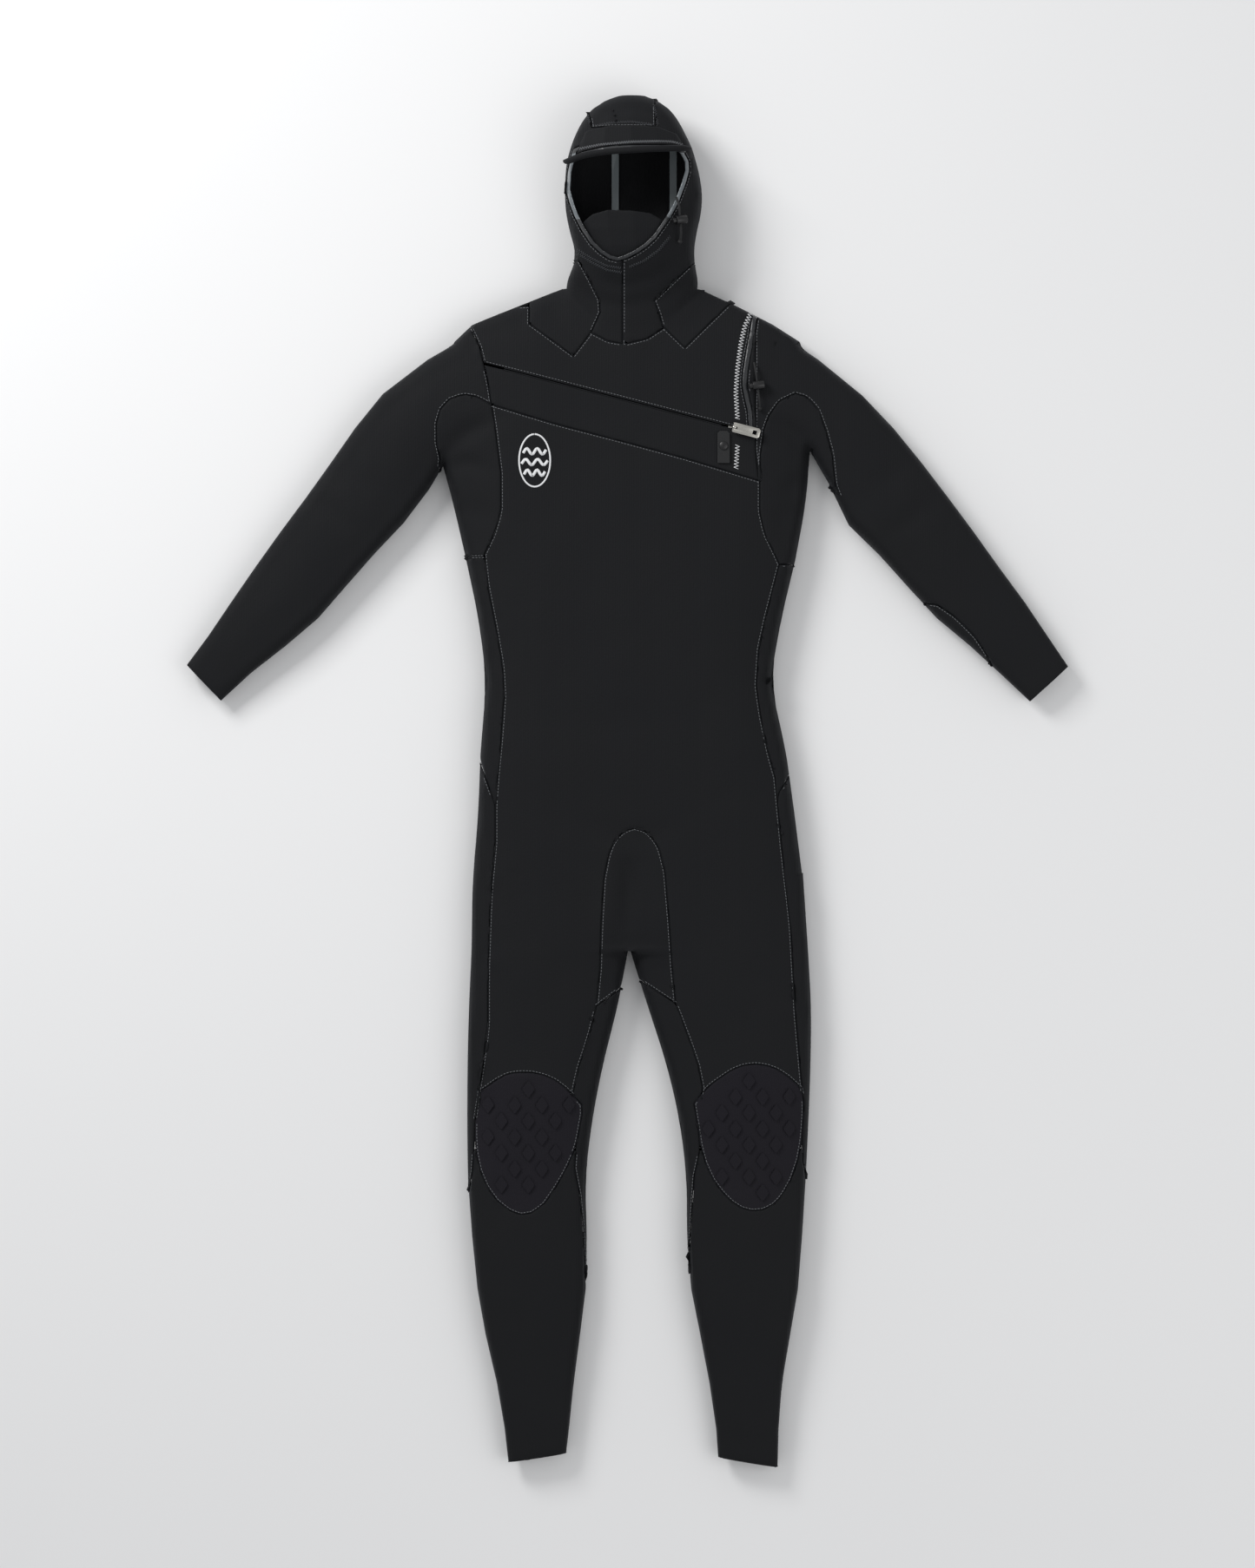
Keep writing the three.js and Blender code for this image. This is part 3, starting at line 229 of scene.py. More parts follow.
smooth_skin = grained("smooth_skin_neoprene", "#1B1D20", 0.34, 3 * MM, 0.1 * MM, Coat_Weight=0.2,
                      Coat_Roughness=0.3)
edge_tape = grained("liquid_rubber_edge_tape", "#5E6468", 0.3, 4 * MM, 0.1 * MM, Coat_Weight=0.3,
                    Coat_Roughness=0.2)
inner_tape = grained("liquid_seam_tape", "#7D8689", 0.42, 4 * MM, 0.1 * MM)
pale_thread = grained("pale_polyester_thread", "#6E7073", 0.7, 0.3 * MM, 0.05 * MM)
white_thread = grained("white_polyester_thread", "#D9DADB", 0.65, 0.3 * MM, 0.05 * MM)
black_thread = grained("black_polyester_thread", "#34363A", 0.6, 0.3 * MM, 0.05 * MM)
webbing = grained("woven_polyester_webbing", "#0E0F11", 0.72, 0.8 * MM, 0.25 * MM)
acetal = grained("moulded_black_acetal", "#0B0B0D", 0.38, 0.5 * MM, 0.03 * MM)
zip_acetal = grained("moulded_zip_acetal", "#121315", 0.38, 0.5 * MM, 0.03 * MM)
nickel = grained("plated_zinc_die_casting", "#B9B7B0", 0.3, 2 * MM, 0.02 * MM, 1)
spring_wire = grained("drawn_spring_steel", "#A9A9A8", 0.28, 0.5 * MM, 0.01 * MM, 1)
print_ink = grained("white_transfer_print", "#DCDDDE", 0.5, 0.8 * MM, 0.05 * MM)
print(len(bpy.data.materials), "finishes")

# %% [markdown]
# ## The suit's surface
#
# Every panel of a sewn suit shares one surface. It is found once: rays from above and from below touch the
# packed panels on a 5 mm grid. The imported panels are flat-sided, so the grid is relaxed, as cloth relaxes
# over foam, and what the relaxing changed is kept as a correction. The correction fades out at the edges,
# which keeps the outline.

# %% Panels and how they lie
ROOT = "suit"
LAYERED = {"peak", "peak_binding", "chin_guard", "zip_barrier", "face_binding"}
CLOTH_FINISH = {"neoprene_jersey": neoprene, "knee_neoprene": knee_jersey,
                "smooth_skin_neoprene": smooth_skin}
panels = sorted(n for n in nodes if slot_of[n] in CLOTH_FINISH and n not in LAYERED)
shell = bmesh.new()
for name in panels + ["face_binding"]:
    shell.from_mesh(nodes[name].data)
tree = BVHTree.FromBMesh(shell)
shell.free()
DOWN, UP = Vector((0, 0, -1)), Vector((0, 0, 1))
FAR = 1.0


def touch(x, y, side):
    start = Vector((x, y, FAR if side == "front" else -FAR))
    hit = tree.ray_cast(start, DOWN if side == "front" else UP)[0]
    return None if hit is None else hit.z


# %% The relaxed correction
CELL = 5 * MM
low, high = cad_box
columns = int((high[0] - low[0]) / CELL) + 3
rows = int((high[1] - low[1]) / CELL) + 3
INSIDE_FRONT = 17.5 * MM # nothing of the front lies lower than the fold
MOST_RELAXED = 2.5 * MM # a step, as at the neck or the face, is not evened out
EDGE_ROUNDS = 8 # rounds that find how near a cell is to the outline
EDGE_NONE, EDGE_SPAN = 0.55, 0.4 # up to the first there is no correction, and over the second it grows to all


def shifted_sum(field):
    padded = np.pad(field, 1)
    return padded[:-2, 1:-1] + padded[2:, 1:-1] + padded[1:-1, :-2] + padded[1:-1, 2:]


def relax(field, known, rounds):
    neighbours = np.maximum(shifted_sum(known.astype(float)), 1)
    field = np.where(known, field, 0)
    for _ in range(rounds):
        field = np.where(known, 0.5 * field + 0.5 * shifted_sum(field) / neighbours, 0)
    return field


def correction(side, rounds):
    field = np.zeros((rows, columns))
    known = np.zeros((rows, columns), bool)
    for i in range(rows):
        for j in range(columns):
            z = touch(low[0] + (j - 1) * CELL, low[1] + (i - 1) * CELL, side)
            if z is not None and (side == "back" or z > INSIDE_FRONT):
                field[i, j] = z
                known[i, j] = True
    inner = relax(known.astype(float), np.ones_like(known), EDGE_ROUNDS)
    weight = np.clip((inner - EDGE_NONE) / EDGE_SPAN, 0, 1)
    moved = (relax(field, known, rounds) - field) * known * weight
    return np.clip(moved, -MOST_RELAXED, MOST_RELAXED)


shift = {"front": correction("front", 50), "back": correction("back", 30)}
print("surface found,", rows, "x", columns, "cells, greatest correction",
      round(float(np.abs(shift["front"]).max()) / MM, 1), "mm")

# %% [markdown]
# Neoprene that is laid down keeps soft rolls where it bends on the body: at the crotch, the armpits, the neck
# and the elbows. Each is a stroke: a line, a width and a depth, pressed into the front.

# %% Soft folds
SOFT = [
    # (points in mm, width, depth) - a negative depth is a ridge
    (((-2, -85), (2, -120), (0, -190)), 11, 3.4),
    (((-22, -110), (-28, -170), (-24, -230)), 12, -1.6),
    (((32, -110), (40, -170), (40, -230)), 12, -1.6),
    (((-60, -40), (-20, -62), (10, -66)), 16, 1.2),
    (((60, -46), (34, -62), (10, -66)), 16, 1.2),
    (((-226, 400), (-196, 428), (-160, 444)), 12, 2.6),
    (((-232, 380), (-196, 392), (-168, 380)), 10, 1.6),
    (((224, 402), (200, 428), (172, 446)), 12, 2.6),
    (((236, 382), (214, 372), (186, 352)), 10, 1.6),
    (((-214, 345), (-190, 330), (-160, 330)), 14, 1.0),
    (((219, 345), (200, 330), (172, 322)), 14, 1.0),
    (((-58, 640), (-30, 610), (-6, 604), (30, 612), (66, 640)), 9, 2.2),
    (((-66, 612), (-40, 590), (-6, 582), (36, 590), (72, 612)), 10, 1.8),
    (((-330, 300), (-356, 330), (-384, 350)), 14, 1.6),
    (((318, 300), (344, 322), (378, 350)), 14, 1.6),
    (((-300, 352), (-330, 372), (-352, 398)), 16, 1.0),
    (((290, 350), (318, 372), (346, 398)), 16, 1.0),
    (((-120, 90), (-40, 76), (60, 84), (130, 100)), 30, 0.9),
    (((-130, -20), (-40, -36), (60, -30), (150, -16)), 34, 0.8),
]
FOLD_STRENGTH = 1.6


def stroke_depth(x, y):
    total = 0.0
    for points, width, depth in SOFT:
        nearest = 1e9
        along = 0.0
        for i in range(len(points) - 1):
            (ax, ay), (bx, by) = points[i], points[i + 1]
            dx, dy = bx - ax, by - ay
            t = max(0, min(1, ((x / MM - ax) * dx + (y / MM - ay) * dy) / (dx * dx + dy * dy)))
            d = math.hypot(x / MM - ax - t * dx, y / MM - ay - t * dy)
            if d < nearest:
                nearest, along = d, (i + t) / (len(points) - 1)
        if nearest < 3 * width:
            taper = math.sin(math.pi * min(max(along, 0.04), 0.96)) ** 0.6
            total += depth * taper * math.exp(-((nearest / width) ** 2))
    return total * MM


def corrected(x, y, side):
    u = (x - low[0]) / CELL + 1
    v = (y - low[1]) / CELL + 1
    j = min(max(int(u), 0), columns - 2)
    i = min(max(int(v), 0), rows - 2)
    fu, fv = u - j, v - i
    field = shift[side]
    return (field[i, j] * (1 - fu) * (1 - fv) + field[i, j + 1] * fu * (1 - fv)
            + field[i + 1, j] * (1 - fu) * fv + field[i + 1, j + 1] * fu * fv)


SWELL = 1.3 * MM # the broad unevenness of laid cloth, some 60 to 90 mm across
RIPPLE = 0.35 * MM # the finer unevenness, some 25 mm across
CALM_HEIGHT, LIVELY_RISE = 20 * MM, 12 * MM # near the fold at the outline the cloth is held still


def surface(x, y, side, fallback):
    """The suit's outer face over a point, with its folds and its slight unevenness."""
    z = touch(x, y, side)
    if z is None or (side == "front" and z < INSIDE_FRONT):
        return fallback
    z += corrected(x, y, side)
    if side == "front":
        lively = min(max((z - CALM_HEIGHT) / LIVELY_RISE, 0), 1)
        z -= FOLD_STRENGTH * stroke_depth(x, y) * lively
        z += SWELL * lively * noise.noise(Vector((x * 16, y * 11, 0.3)))
        z += RIPPLE * lively * noise.noise(Vector((x * 42, y * 36, 5.1)))
    return z


# %% [markdown]
# ## Cutting a panel
#
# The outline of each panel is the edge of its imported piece, seen from above. Its corners stay, and its curves
# are rounded by cutting corners twice, as a pattern cutter trues a paper curve. Two narrow insets follow the
# edge, where the cloth rolls down into the seam. A grid of cuts then gives the cloth its fine faces.

# %% One panel's outline and its cloth
GRID = 5 * MM
ROLL = (0.9 * MM, 1.3 * MM) # widths of the two insets
SINK = (1.3 * MM, 0.45 * MM, 0.0) # how deep the edge and the insets lie
CORNER = math.radians(38)
THICKNESS = 3.4 * MM
LEAST_SKIN = 0.012 # share of the panel below which a loop is only a seam's edge
FADE = 5 * MM # near the fold the seam is shallow
UPRIGHT = 0.03 # a face whose normal rises less than this is a wall
ON_SKIN = 0.4 * MM # a face this near the suit's surface is part of its outer skin
FACE_BOTTOM, NAPE_TOP = 620 * MM, 35 * MM # past the first and under the second lies the nape, inside the hood


def skin_outline(name, side):
    """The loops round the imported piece's outer face: each point, and whether it is on the suit's outline."""
    up = 1 if side == "front" else -1
    bm = bmesh.new()
    bm.from_mesh(nodes[name].data)
    bmesh.ops.remove_doubles(bm, verts=bm.verts, dist=0.02 * MM)
    bm.normal_update()
    keep, turned, facing = [], set(), 0.0
    for face in bm.faces:
        if up * face.normal.z < UPRIGHT:
            if up * face.normal.z < -UPRIGHT:
                turned.update(face.verts)
            continue
        facing += face.calc_area()
        centre = face.calc_center_median()
        z = touch(centre.x, centre.y, side)
        through_face = side == "front" and centre.y > FACE_BOTTOM and centre.z < NAPE_TOP
        if z is not None and abs(z - centre.z) < ON_SKIN and not through_face:
            keep.append(face)
    outer = {v for face in keep for v in face.verts}
    ledges = [f for f in bm.faces if abs(f.normal.z) < UPRIGHT and all(v in outer for v in f.verts)]
    keep += ledges
    kept = set(keep)
    fold = {v for face in keep for v in face.verts if v in turned}
    edges = [e for face in keep for e in face.edges if sum(f in kept for f in e.link_faces) == 1]
    left = set(edges)
    loops = []
    while left:
        edge = next(e for e in edges if e in left)
        corner = next(c for c in edge.link_loops if c.face in kept)
        ring = []
        while corner.edge in left:
            left.discard(corner.edge)
            ring.append((corner.vert.co.copy(), corner.vert in fold))
            corner = corner.link_loop_next
            while sum(f in kept for f in corner.edge.link_faces) != 1:
                corner = next(c for c in corner.edge.link_loops if c is not corner).link_loop_next
        loops.append(ring)
    bm.free()
    return [ring for ring in loops if up * area_of([p for p, _ in ring]) > LEAST_SKIN * facing]


def area_of(ring):
    return 0.5 * sum(ring[i - 1].x * ring[i].y - ring[i].x * ring[i - 1].y for i in range(len(ring)))


def trued(ring):
    """The outline with its curves rounded and its corners kept."""
    for _ in range(2):
        result = []
        for i, (p, flag) in enumerate(ring):
            a, a_flag = ring[i - 1]
            b, b_flag = ring[(i + 1) % len(ring)]
            before, after = (p - a).to_2d(), (b - p).to_2d()
            if before.length < 1e-7 or after.length < 1e-7:
                continue
            if abs(before.angle_signed(after, 0)) > CORNER:
                result.append((p, flag))
            else:
                result.append((p.lerp(a, 0.25), flag and a_flag))
                result.append((p.lerp(b, 0.25), flag and b_flag))
        ring = result
    return ring


def cloth_of(bm, ring, side):
    """Adds one gridded skin of cloth, laid on the surface, to bm."""
    made = bmesh.new()
    sink = made.verts.layers.float.new("sink")
    rest = made.verts.layers.float.new("rest")
    rim = made.verts.layers.float.new("rim")
    verts = []
    for p, flag in ring:
        vert = made.verts.new((p.x, p.y, 0))
        vert[rest] = p.z
        vert[rim] = 1.0 if flag else 0.0
        vert[sink] = 0.0 if flag else SINK[0]
        verts.append(vert)
    face = made.faces.new(verts)
    face.normal_update()
    if face.normal.z < 0:
        face.normal_flip()
    for width, depth in zip(ROLL, SINK[1:]):
        bmesh.ops.inset_region(made, faces=[face], thickness=width, use_boundary=True, use_even_offset=False)
        for vert in face.verts:
            vert[sink] = depth if vert[rim] < 0.5 else 0.0
            vert[rim] = 0.0
    xs = [p.x for p, _ in ring]
    ys = [p.y for p, _ in ring]
    for axis, values in ((0, xs), (1, ys)):
        normal = Vector((1, 0, 0)) if axis == 0 else Vector((0, 1, 0))
        first = math.ceil(min(values) / GRID)
        last = math.floor(max(values) / GRID)
        for k in range(first, last + 1):
            bmesh.ops.bisect_plane(made, geom=made.verts[:] + made.edges[:] + made.faces[:], dist=0.01 * MM,
                                   plane_co=normal * (k * GRID + 0.00013), plane_no=normal)
    for vert in made.verts:
        x, y = vert.co.x, vert.co.y
        if vert[rim] > 0.99:
            vert.co.z = vert[rest]
        else:
            z = surface(x, y, side, vert[rest])
            fade = min(1, abs(z - vert[rest]) / FADE) if vert[rim] > 0.01 else 1
            vert.co.z = z - vert[sink] * fade if side == "front" else z + vert[sink]
    if side == "back":
        bmesh.ops.reverse_faces(made, faces=made.faces)
    mesh = bpy.data.meshes.new("cloth")
    made.to_mesh(mesh)
    made.free()
    bm.from_mesh(mesh)
    bpy.data.meshes.remove(mesh)


def put(bm, name, material, body=ROOT):
    mesh = bpy.data.meshes.new(name)
    bm.to_mesh(mesh)
    bm.free()
    piece = bpy.data.objects.new(name, mesh)
    bpy.context.collection.objects.link(piece)
    piece.data.materials.append(material)
    for polygon in mesh.polygons:
        polygon.use_smooth = True
    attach(piece, body)
    return piece


# %% The panels
outlines = {}
cloth_area = 0.0
for name in panels:
    bm = bmesh.new()
    outlines[name] = []
    for side in ("front", "back"):
        for ring in skin_outline(name, side):
            ring = trued(ring)
            outlines[name].append((side, ring))
            cloth_of(bm, ring, side)
    bmesh.ops.remove_doubles(bm, verts=bm.verts, dist=0.15 * MM)
    area = sum(f.calc_area() for f in bm.faces)
    cloth_area += area
    piece = put(bm, name + "_cloth", CLOTH_FINISH[slot_of[name]])
    wall = piece.modifiers.new("foam", "SOLIDIFY")
    wall.thickness = THICKNESS
    wall.offset = -1
    wall.thickness_clamp = 1.0
    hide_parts(name)
    print(f"{name}: {len(piece.data.polygons)} faces, {area * 1e4:.0f} cm2, {len(outlines[name])} skins")
print("cloth in all", round(cloth_area, 3), "m2")

# %% [markdown]
# The panels are glued to each other and taped from inside, so no light comes through a seam or a corner where
# three panels meet. A thin layer inside the foam stands for the glue and the tape. It stays clear of the zip
# and the face.

# %% The seam glue
GLUE_DEPTH = 1.9 * MM
GLUE_STEP = 4 * MM # a square steeper than this is at a step or at the outline, and is left out
ZIP_MARGIN = 16 * MM
ZIP_CLOSED = Vector((0.130, 0.433))
ZIP_LENGTH = 300 * MM
ZIP_OPEN = ZIP_CLOSED + (Vector((-0.135, 0.501)) - ZIP_CLOSED).normalized() * ZIP_LENGTH
glue = bmesh.new()
corners = {}
for i in range(rows):
    for j in range(columns):
        x, y = low[0] + j * CELL, low[1] + i * CELL
        z = surface(x, y, "front", None)
        share = min(max((Vector((x, y)) - ZIP_CLOSED).dot(ZIP_OPEN - ZIP_CLOSED) / ZIP_LENGTH ** 2, 0), 1)
        off_zip = (Vector((x, y)) - ZIP_CLOSED.lerp(ZIP_OPEN, share)).length > ZIP_MARGIN
        if z is not None and off_zip:
            corners[i, j] = glue.verts.new((x, y, z - GLUE_DEPTH))
for i, j in list(corners):
    square = [corners.get(key) for key in ((i, j), (i, j + 1), (i + 1, j + 1), (i + 1, j))]
    if None not in square and max(v.co.z for v in square) - min(v.co.z for v in square) < GLUE_STEP:
        glue.faces.new(square)
bmesh.ops.delete(glue, geom=[v for v in glue.verts if not v.link_faces], context="VERTS")
seam_glue = put(glue, "seam_glue", neoprene)
film = seam_glue.modifiers.new("film", "SOLIDIFY")
film.thickness = 0.3 * MM
print(len(seam_glue.data.polygons), "glue faces")

# %% [markdown]
# ## Small layered pieces
#
# The peak, the chin guard, the bindings, the inner flap, the tapes and the snap's tab lie on or under the
# panels. They are cut edges of soft sheet, so nothing on them is sharp. Each starts from a merged copy of its
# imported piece: a fine voxel remesh gives it even faces, and smoothing then rounds its edges, as pressing and
# wear do.

# %% Softened copies
def softened(name, voxel, rounds, material, body=ROOT):
    bm = bmesh.new()
    bm.from_mesh(nodes[name].data)
    bmesh.ops.remove_doubles(bm, verts=bm.verts, dist=0.02 * MM)
    rough = put(bm, name + "_rough", material)
    remesh = rough.modifiers.new("even_faces", "REMESH")
    remesh.mode = "VOXEL"
    remesh.voxel_size = voxel
    even = bpy.data.meshes.new_from_object(rough.evaluated_get(bpy.context.evaluated_depsgraph_get()))
    bpy.data.objects.remove(rough)
    bm = bmesh.new()
    bm.from_mesh(even)
    bpy.data.meshes.remove(even)
    for _ in range(rounds):
        bmesh.ops.smooth_vert(bm, verts=bm.verts, factor=0.5, use_axis_x=True, use_axis_y=True,
                              use_axis_z=True)
    soft = bpy.data.objects.new(name + "_soft", bpy.data.meshes.new(name + "_soft"))
    bm.to_mesh(soft.data)
    bm.free()
    bpy.context.collection.objects.link(soft)
    soft.data.materials.append(material)
    for polygon in soft.data.polygons:
        polygon.use_smooth = True
    if body:
        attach(soft, body)
    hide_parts(name)
    print(f"{name}: {len(soft.data.polygons)} faces")
    return soft


FLAT_PIECES = {
    "chin_guard": (1.2, 4, neoprene), "face_binding": (1.0, 4, smooth_skin), "zip_barrier": (0.9, 2, lining),
    "hood_tape_right": (0.45, 1, inner_tape), "hood_tape_left": (0.45, 1, inner_tape),
    "zip_tape_upper": (0.5, 1, webbing), "zip_tape_lower": (0.5, 1, webbing),
}
for name, (voxel, rounds, material) in FLAT_PIECES.items():
    soft = softened(name, voxel * MM, rounds, material)
    if name == "face_binding":
        binding = soft

# %% [markdown]
# Beside the eyes the binding's inner edge is coated with liquid rubber, which shines. Below, and under the
# peak, it is left plain.

# %% The coated edge
TAPED_LOW, TAPED_HIGH = 684 * MM, 764 * MM
binding.data.materials.append(edge_tape)
for polygon in binding.data.polygons:
    beside_eyes = TAPED_LOW < polygon.center.y < TAPED_HIGH and abs(polygon.center.x) > 48 * MM
    polygon.material_index = 1 if beside_eyes else 0
print(sum(p.material_index for p in binding.data.polygons), "coated faces")

# %% [markdown]
# The peak and the tab are sewn along one edge and free on the other, so each one bends there. Near its seam
# it stays with the suit, and past the seam it turns with its own body. The peak's free edge is rolled over a
# cord, and stands a little past the hood on both sides.

# %% The peak and the tab
peak = softened("peak", 0.9 * MM, 5, neoprene, None)
peak_edge = softened("peak_binding", 0.7 * MM, 4, smooth_skin, None)
tab = softened("snap_tab", 0.35 * MM, 3, webbing, None)
peak_top = BVHTree.FromObject(peak, bpy.context.evaluated_depsgraph_get())


def rod(name, points, radius, material, ends=1):
    """A soft round edge along a line of points in metres, as a mesh."""
    curve = bpy.data.curves.new(name, "CURVE")
    curve.dimensions = "3D"
    curve.bevel_depth = radius
    curve.bevel_resolution = 3
    curve.use_fill_caps = True
    spline = curve.splines.new("NURBS")
    spline.points.add(len(points) - 1)
    spline.use_endpoint_u = True
    for place, spot in zip(spline.points, points):
        place.co = (*spot, 1)
        place.radius = ends if place in (spline.points[0], spline.points[-1]) else 1
    line = bpy.data.objects.new(name + "_line", curve)
    bpy.context.collection.objects.link(line)
    mesh = bpy.data.meshes.new_from_object(line.evaluated_get(bpy.context.evaluated_depsgraph_get()))
    bpy.data.objects.remove(line)
    mesh.name = name
    piece = bpy.data.objects.new(name, mesh)
    bpy.context.collection.objects.link(piece)
    mesh.materials.clear()
    mesh.materials.append(material)
    for polygon in mesh.polygons:
        polygon.use_smooth = True
    return piece


BRIM_ROLL = 3.8 * MM
BRIM_LINE = ((-77, 754, 80), (-75, 751, 88), (-67, 753, 97), (-56, 757, 103), (-30, 761, 108.5),
             (4, 763, 110), (40, 765, 108.5), (60, 766, 103), (71, 767, 96), (77, 768, 86))
brim = rod("peak_rolled_edge", [Vector(p) * MM for p in BRIM_LINE], BRIM_ROLL, neoprene, 0.35)

PEAK_SEAM, PEAK_FREE = Vector((0, 0.793, 0.09)), Vector((0, 0.777, 0.095))
TAB_SEAM, TAB_FREE = Vector((0.117, 0.387, 0.053)), Vector((0.117, 0.393, 0.053))

# %% [markdown]
# ## Thread
#
# The panels are glued edge to edge and blind-stitched, so from outside each seam is a groove with short pale
# stitches beside it. Where the suit takes strain, and on its free edges, a zigzag lies on top. Each stitch is
# a four-sided sliver of thread, because there are thousands of them.

# %% Stitches
STITCH = 2.6 * MM
STITCH_PITCH = 3.9 * MM
THREAD = 0.34 * MM
WHITE_THREAD = 0.42 * MM


def on_front(x, y):
    return surface(x, y, "front", None)


def on_back(x, y):
    return surface(x, y, "back", None)


def on_peak(x, y):
    hit = peak_top.ray_cast(Vector((x, y, FAR)), DOWN)[0]
    return None if hit is None else hit.z


def stitch(bm, a, b, radius):
    """One straight stitch from a to b."""
    along = b - a
    turn = along.to_track_quat("Z", "Y").to_matrix().to_4x4()
    bmesh.ops.create_cone(bm, cap_ends=True, segments=4, radius1=radius, radius2=radius, depth=along.length,
                          matrix=Matrix.Translation((a + b) / 2) @ turn)


def walk(points, step):
    """Points step apart along a line, each with its direction."""
    result, spare = [], 0.0
    for a, b in zip(points, points[1:]):
        span = (b - a).length
        while span > 1e-9 and spare <= span:
            result.append((a.lerp(b, spare / span), (b - a).normalized()))
            spare += step
        spare -= span
    return result


def zigzag(bm, points, width, pitch, height_at, radius, lift=0.25 * MM):
    line = [Vector(p) * MM for p in points]
    last = None
    for k, (spot, way) in enumerate(walk(line, pitch / 2)):
        side = Vector((-way.y, way.x)) * (width / 2 if k % 2 else -width / 2)
        z = height_at(spot.x + side.x, spot.y + side.y)
        here = None if z is None else Vector((spot.x + side.x, spot.y + side.y, z + lift))
        if here and last:
            stitch(bm, last, here, radius)
        last = here


# %% The seams of the panels
stitched = {}
INSET = 1.7 * MM
NEAR_SEAM = 5.5 * MM # only one of two panels is stitched within this of their seam
PAST_HEM = 5 * MM
STEEPEST = 2 * MM # a stitch that would climb more than this is left out
THREAD_LIFT = 0.06 * MM
for side, height_at in (("front", on_front), ("back", on_back)):
    bm = bmesh.new()
    count = 0
    turn = 1 if side == "front" else -1
    for name in panels:
        for ring_side, ring in outlines[name]:
            if ring_side != side:
                continue
            for (a, a_fold), (b, b_fold) in zip(ring, ring[1:] + ring[:1]):
                if a_fold and b_fold:
                    continue
                way = (b - a).to_2d()
                if way.length < 1e-6:
                    continue
                inward = Vector((-way.y, way.x)).normalized() * INSET * turn
                stitched.setdefault((name, side), []).append((a.to_2d() + inward, b.to_2d() + inward))
    taken = {}
    for (name, ring_side), pieces in stitched.items():
        if ring_side != side:
            continue
        own = bmesh.new()
        spare = 0.0
        for a, b in pieces:
            span, way = (b - a).length, (b - a).normalized()
            while spare < span:
                spot = a + way * spare
                cell = (round(spot.x / NEAR_SEAM), round(spot.y / NEAR_SEAM))
                near = [taken.get((cell[0] + i, cell[1] + j)) for i in (-1, 0, 1) for j in (-1, 0, 1)]
                beyond = spot + Vector((way.y, -way.x)) * turn * PAST_HEM
                outer_hem = touch(beyond.x, beyond.y, side) is None
                if not outer_hem and all(n is None or n == name for n in near):
                    taken[cell] = name
                    ends = [spot - way * STITCH / 2, spot + way * STITCH / 2]
                    heights = [height_at(*end) for end in ends]
                    if None not in heights and abs(heights[0] - heights[1]) < STEEPEST:
                        stitch(own, *[Vector((e.x, e.y, z + turn * THREAD_LIFT)) for e, z in zip(ends, heights)],
                               THREAD)
                        count += 1
                spare += STITCH_PITCH
            spare -= span
        mesh = bpy.data.meshes.new("thread")
        own.to_mesh(mesh)
        own.free()
        bm.from_mesh(mesh)
        bpy.data.meshes.remove(mesh)
    thread = put(bm, f"{side}_seam_thread", pale_thread)
    print(side, count, "stitches")

# %% The zigzags
CROWN = ((-40, 796), (-20, 799), (5, 800), (37, 796))
CROWN_RIGHT = ((-50, 817), (-47, 804), (-44, 797))
CROWN_LEFT = ((32, 824), (35, 808), (37, 797))
BRIM = ((-72, 765), (-36, 770), (4, 773), (54, 775), (74, 771))
CHIN_BAND = ((-62, 649), (-45, 637), (-26, 627), (-8, 624))
CHIN_BAND_LEFT = ((2, 625), (20, 632), (38, 645), (52, 662))
YOKE_LINE = ((151, 575), (143, 557), (138, 535), (134, 505), (132, 475), (134, 443))
PLACKET_LINE = ((134, 412), (133, 396), (132, 381))
ZIGZAG_WIDTH, ZIGZAG_PITCH = 3.2 * MM, 2.8 * MM
WHITE_WIDTH, WHITE_PITCH = 5.6 * MM, 3.9 * MM
bm = bmesh.new()
for line in (CROWN, CROWN_RIGHT, CROWN_LEFT, CHIN_BAND, CHIN_BAND_LEFT):
    zigzag(bm, line, ZIGZAG_WIDTH, ZIGZAG_PITCH, on_front, THREAD)
zigzag(bm, [(x + 1, y - 5) for x, y in CHIN_BAND], ZIGZAG_WIDTH, ZIGZAG_PITCH, on_front, THREAD)
dark_zigzags = put(bm, "hood_zigzags", black_thread)
bm = bmesh.new()
zigzag(bm, YOKE_LINE, WHITE_WIDTH, WHITE_PITCH, on_front, WHITE_THREAD)
zigzag(bm, PLACKET_LINE, WHITE_WIDTH, WHITE_PITCH, on_front, WHITE_THREAD)
white_zigzags = put(bm, "white_zigzags", white_thread)
bm = bmesh.new()
zigzag(bm, BRIM, 3 * MM, ZIGZAG_PITCH, on_peak, THREAD, 0.1 * MM)
brim_thread = bpy.data.objects.new("brim_zigzag", bpy.data.meshes.new("brim_zigzag"))
bm.to_mesh(brim_thread.data)
bm.free()
bpy.context.collection.objects.link(brim_thread)
brim_thread.data.materials.append(pale_thread)
for piece in (peak, peak_edge, brim_thread, brim):
    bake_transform(piece, ROOT, "peak", PEAK_SEAM, PEAK_FREE)
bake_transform(tab, ROOT, "snap_tab", TAB_SEAM, TAB_FREE)
print("zigzags sewn")

# %% [markdown]
# ## Zip lips
#
# The cloth's two edges over the zip end in soft rubber beads that nearly meet, so little of the dark slot
# shows. On the real suit the slider pushes them apart as it passes. Here they keep still, and it passes
# through them.

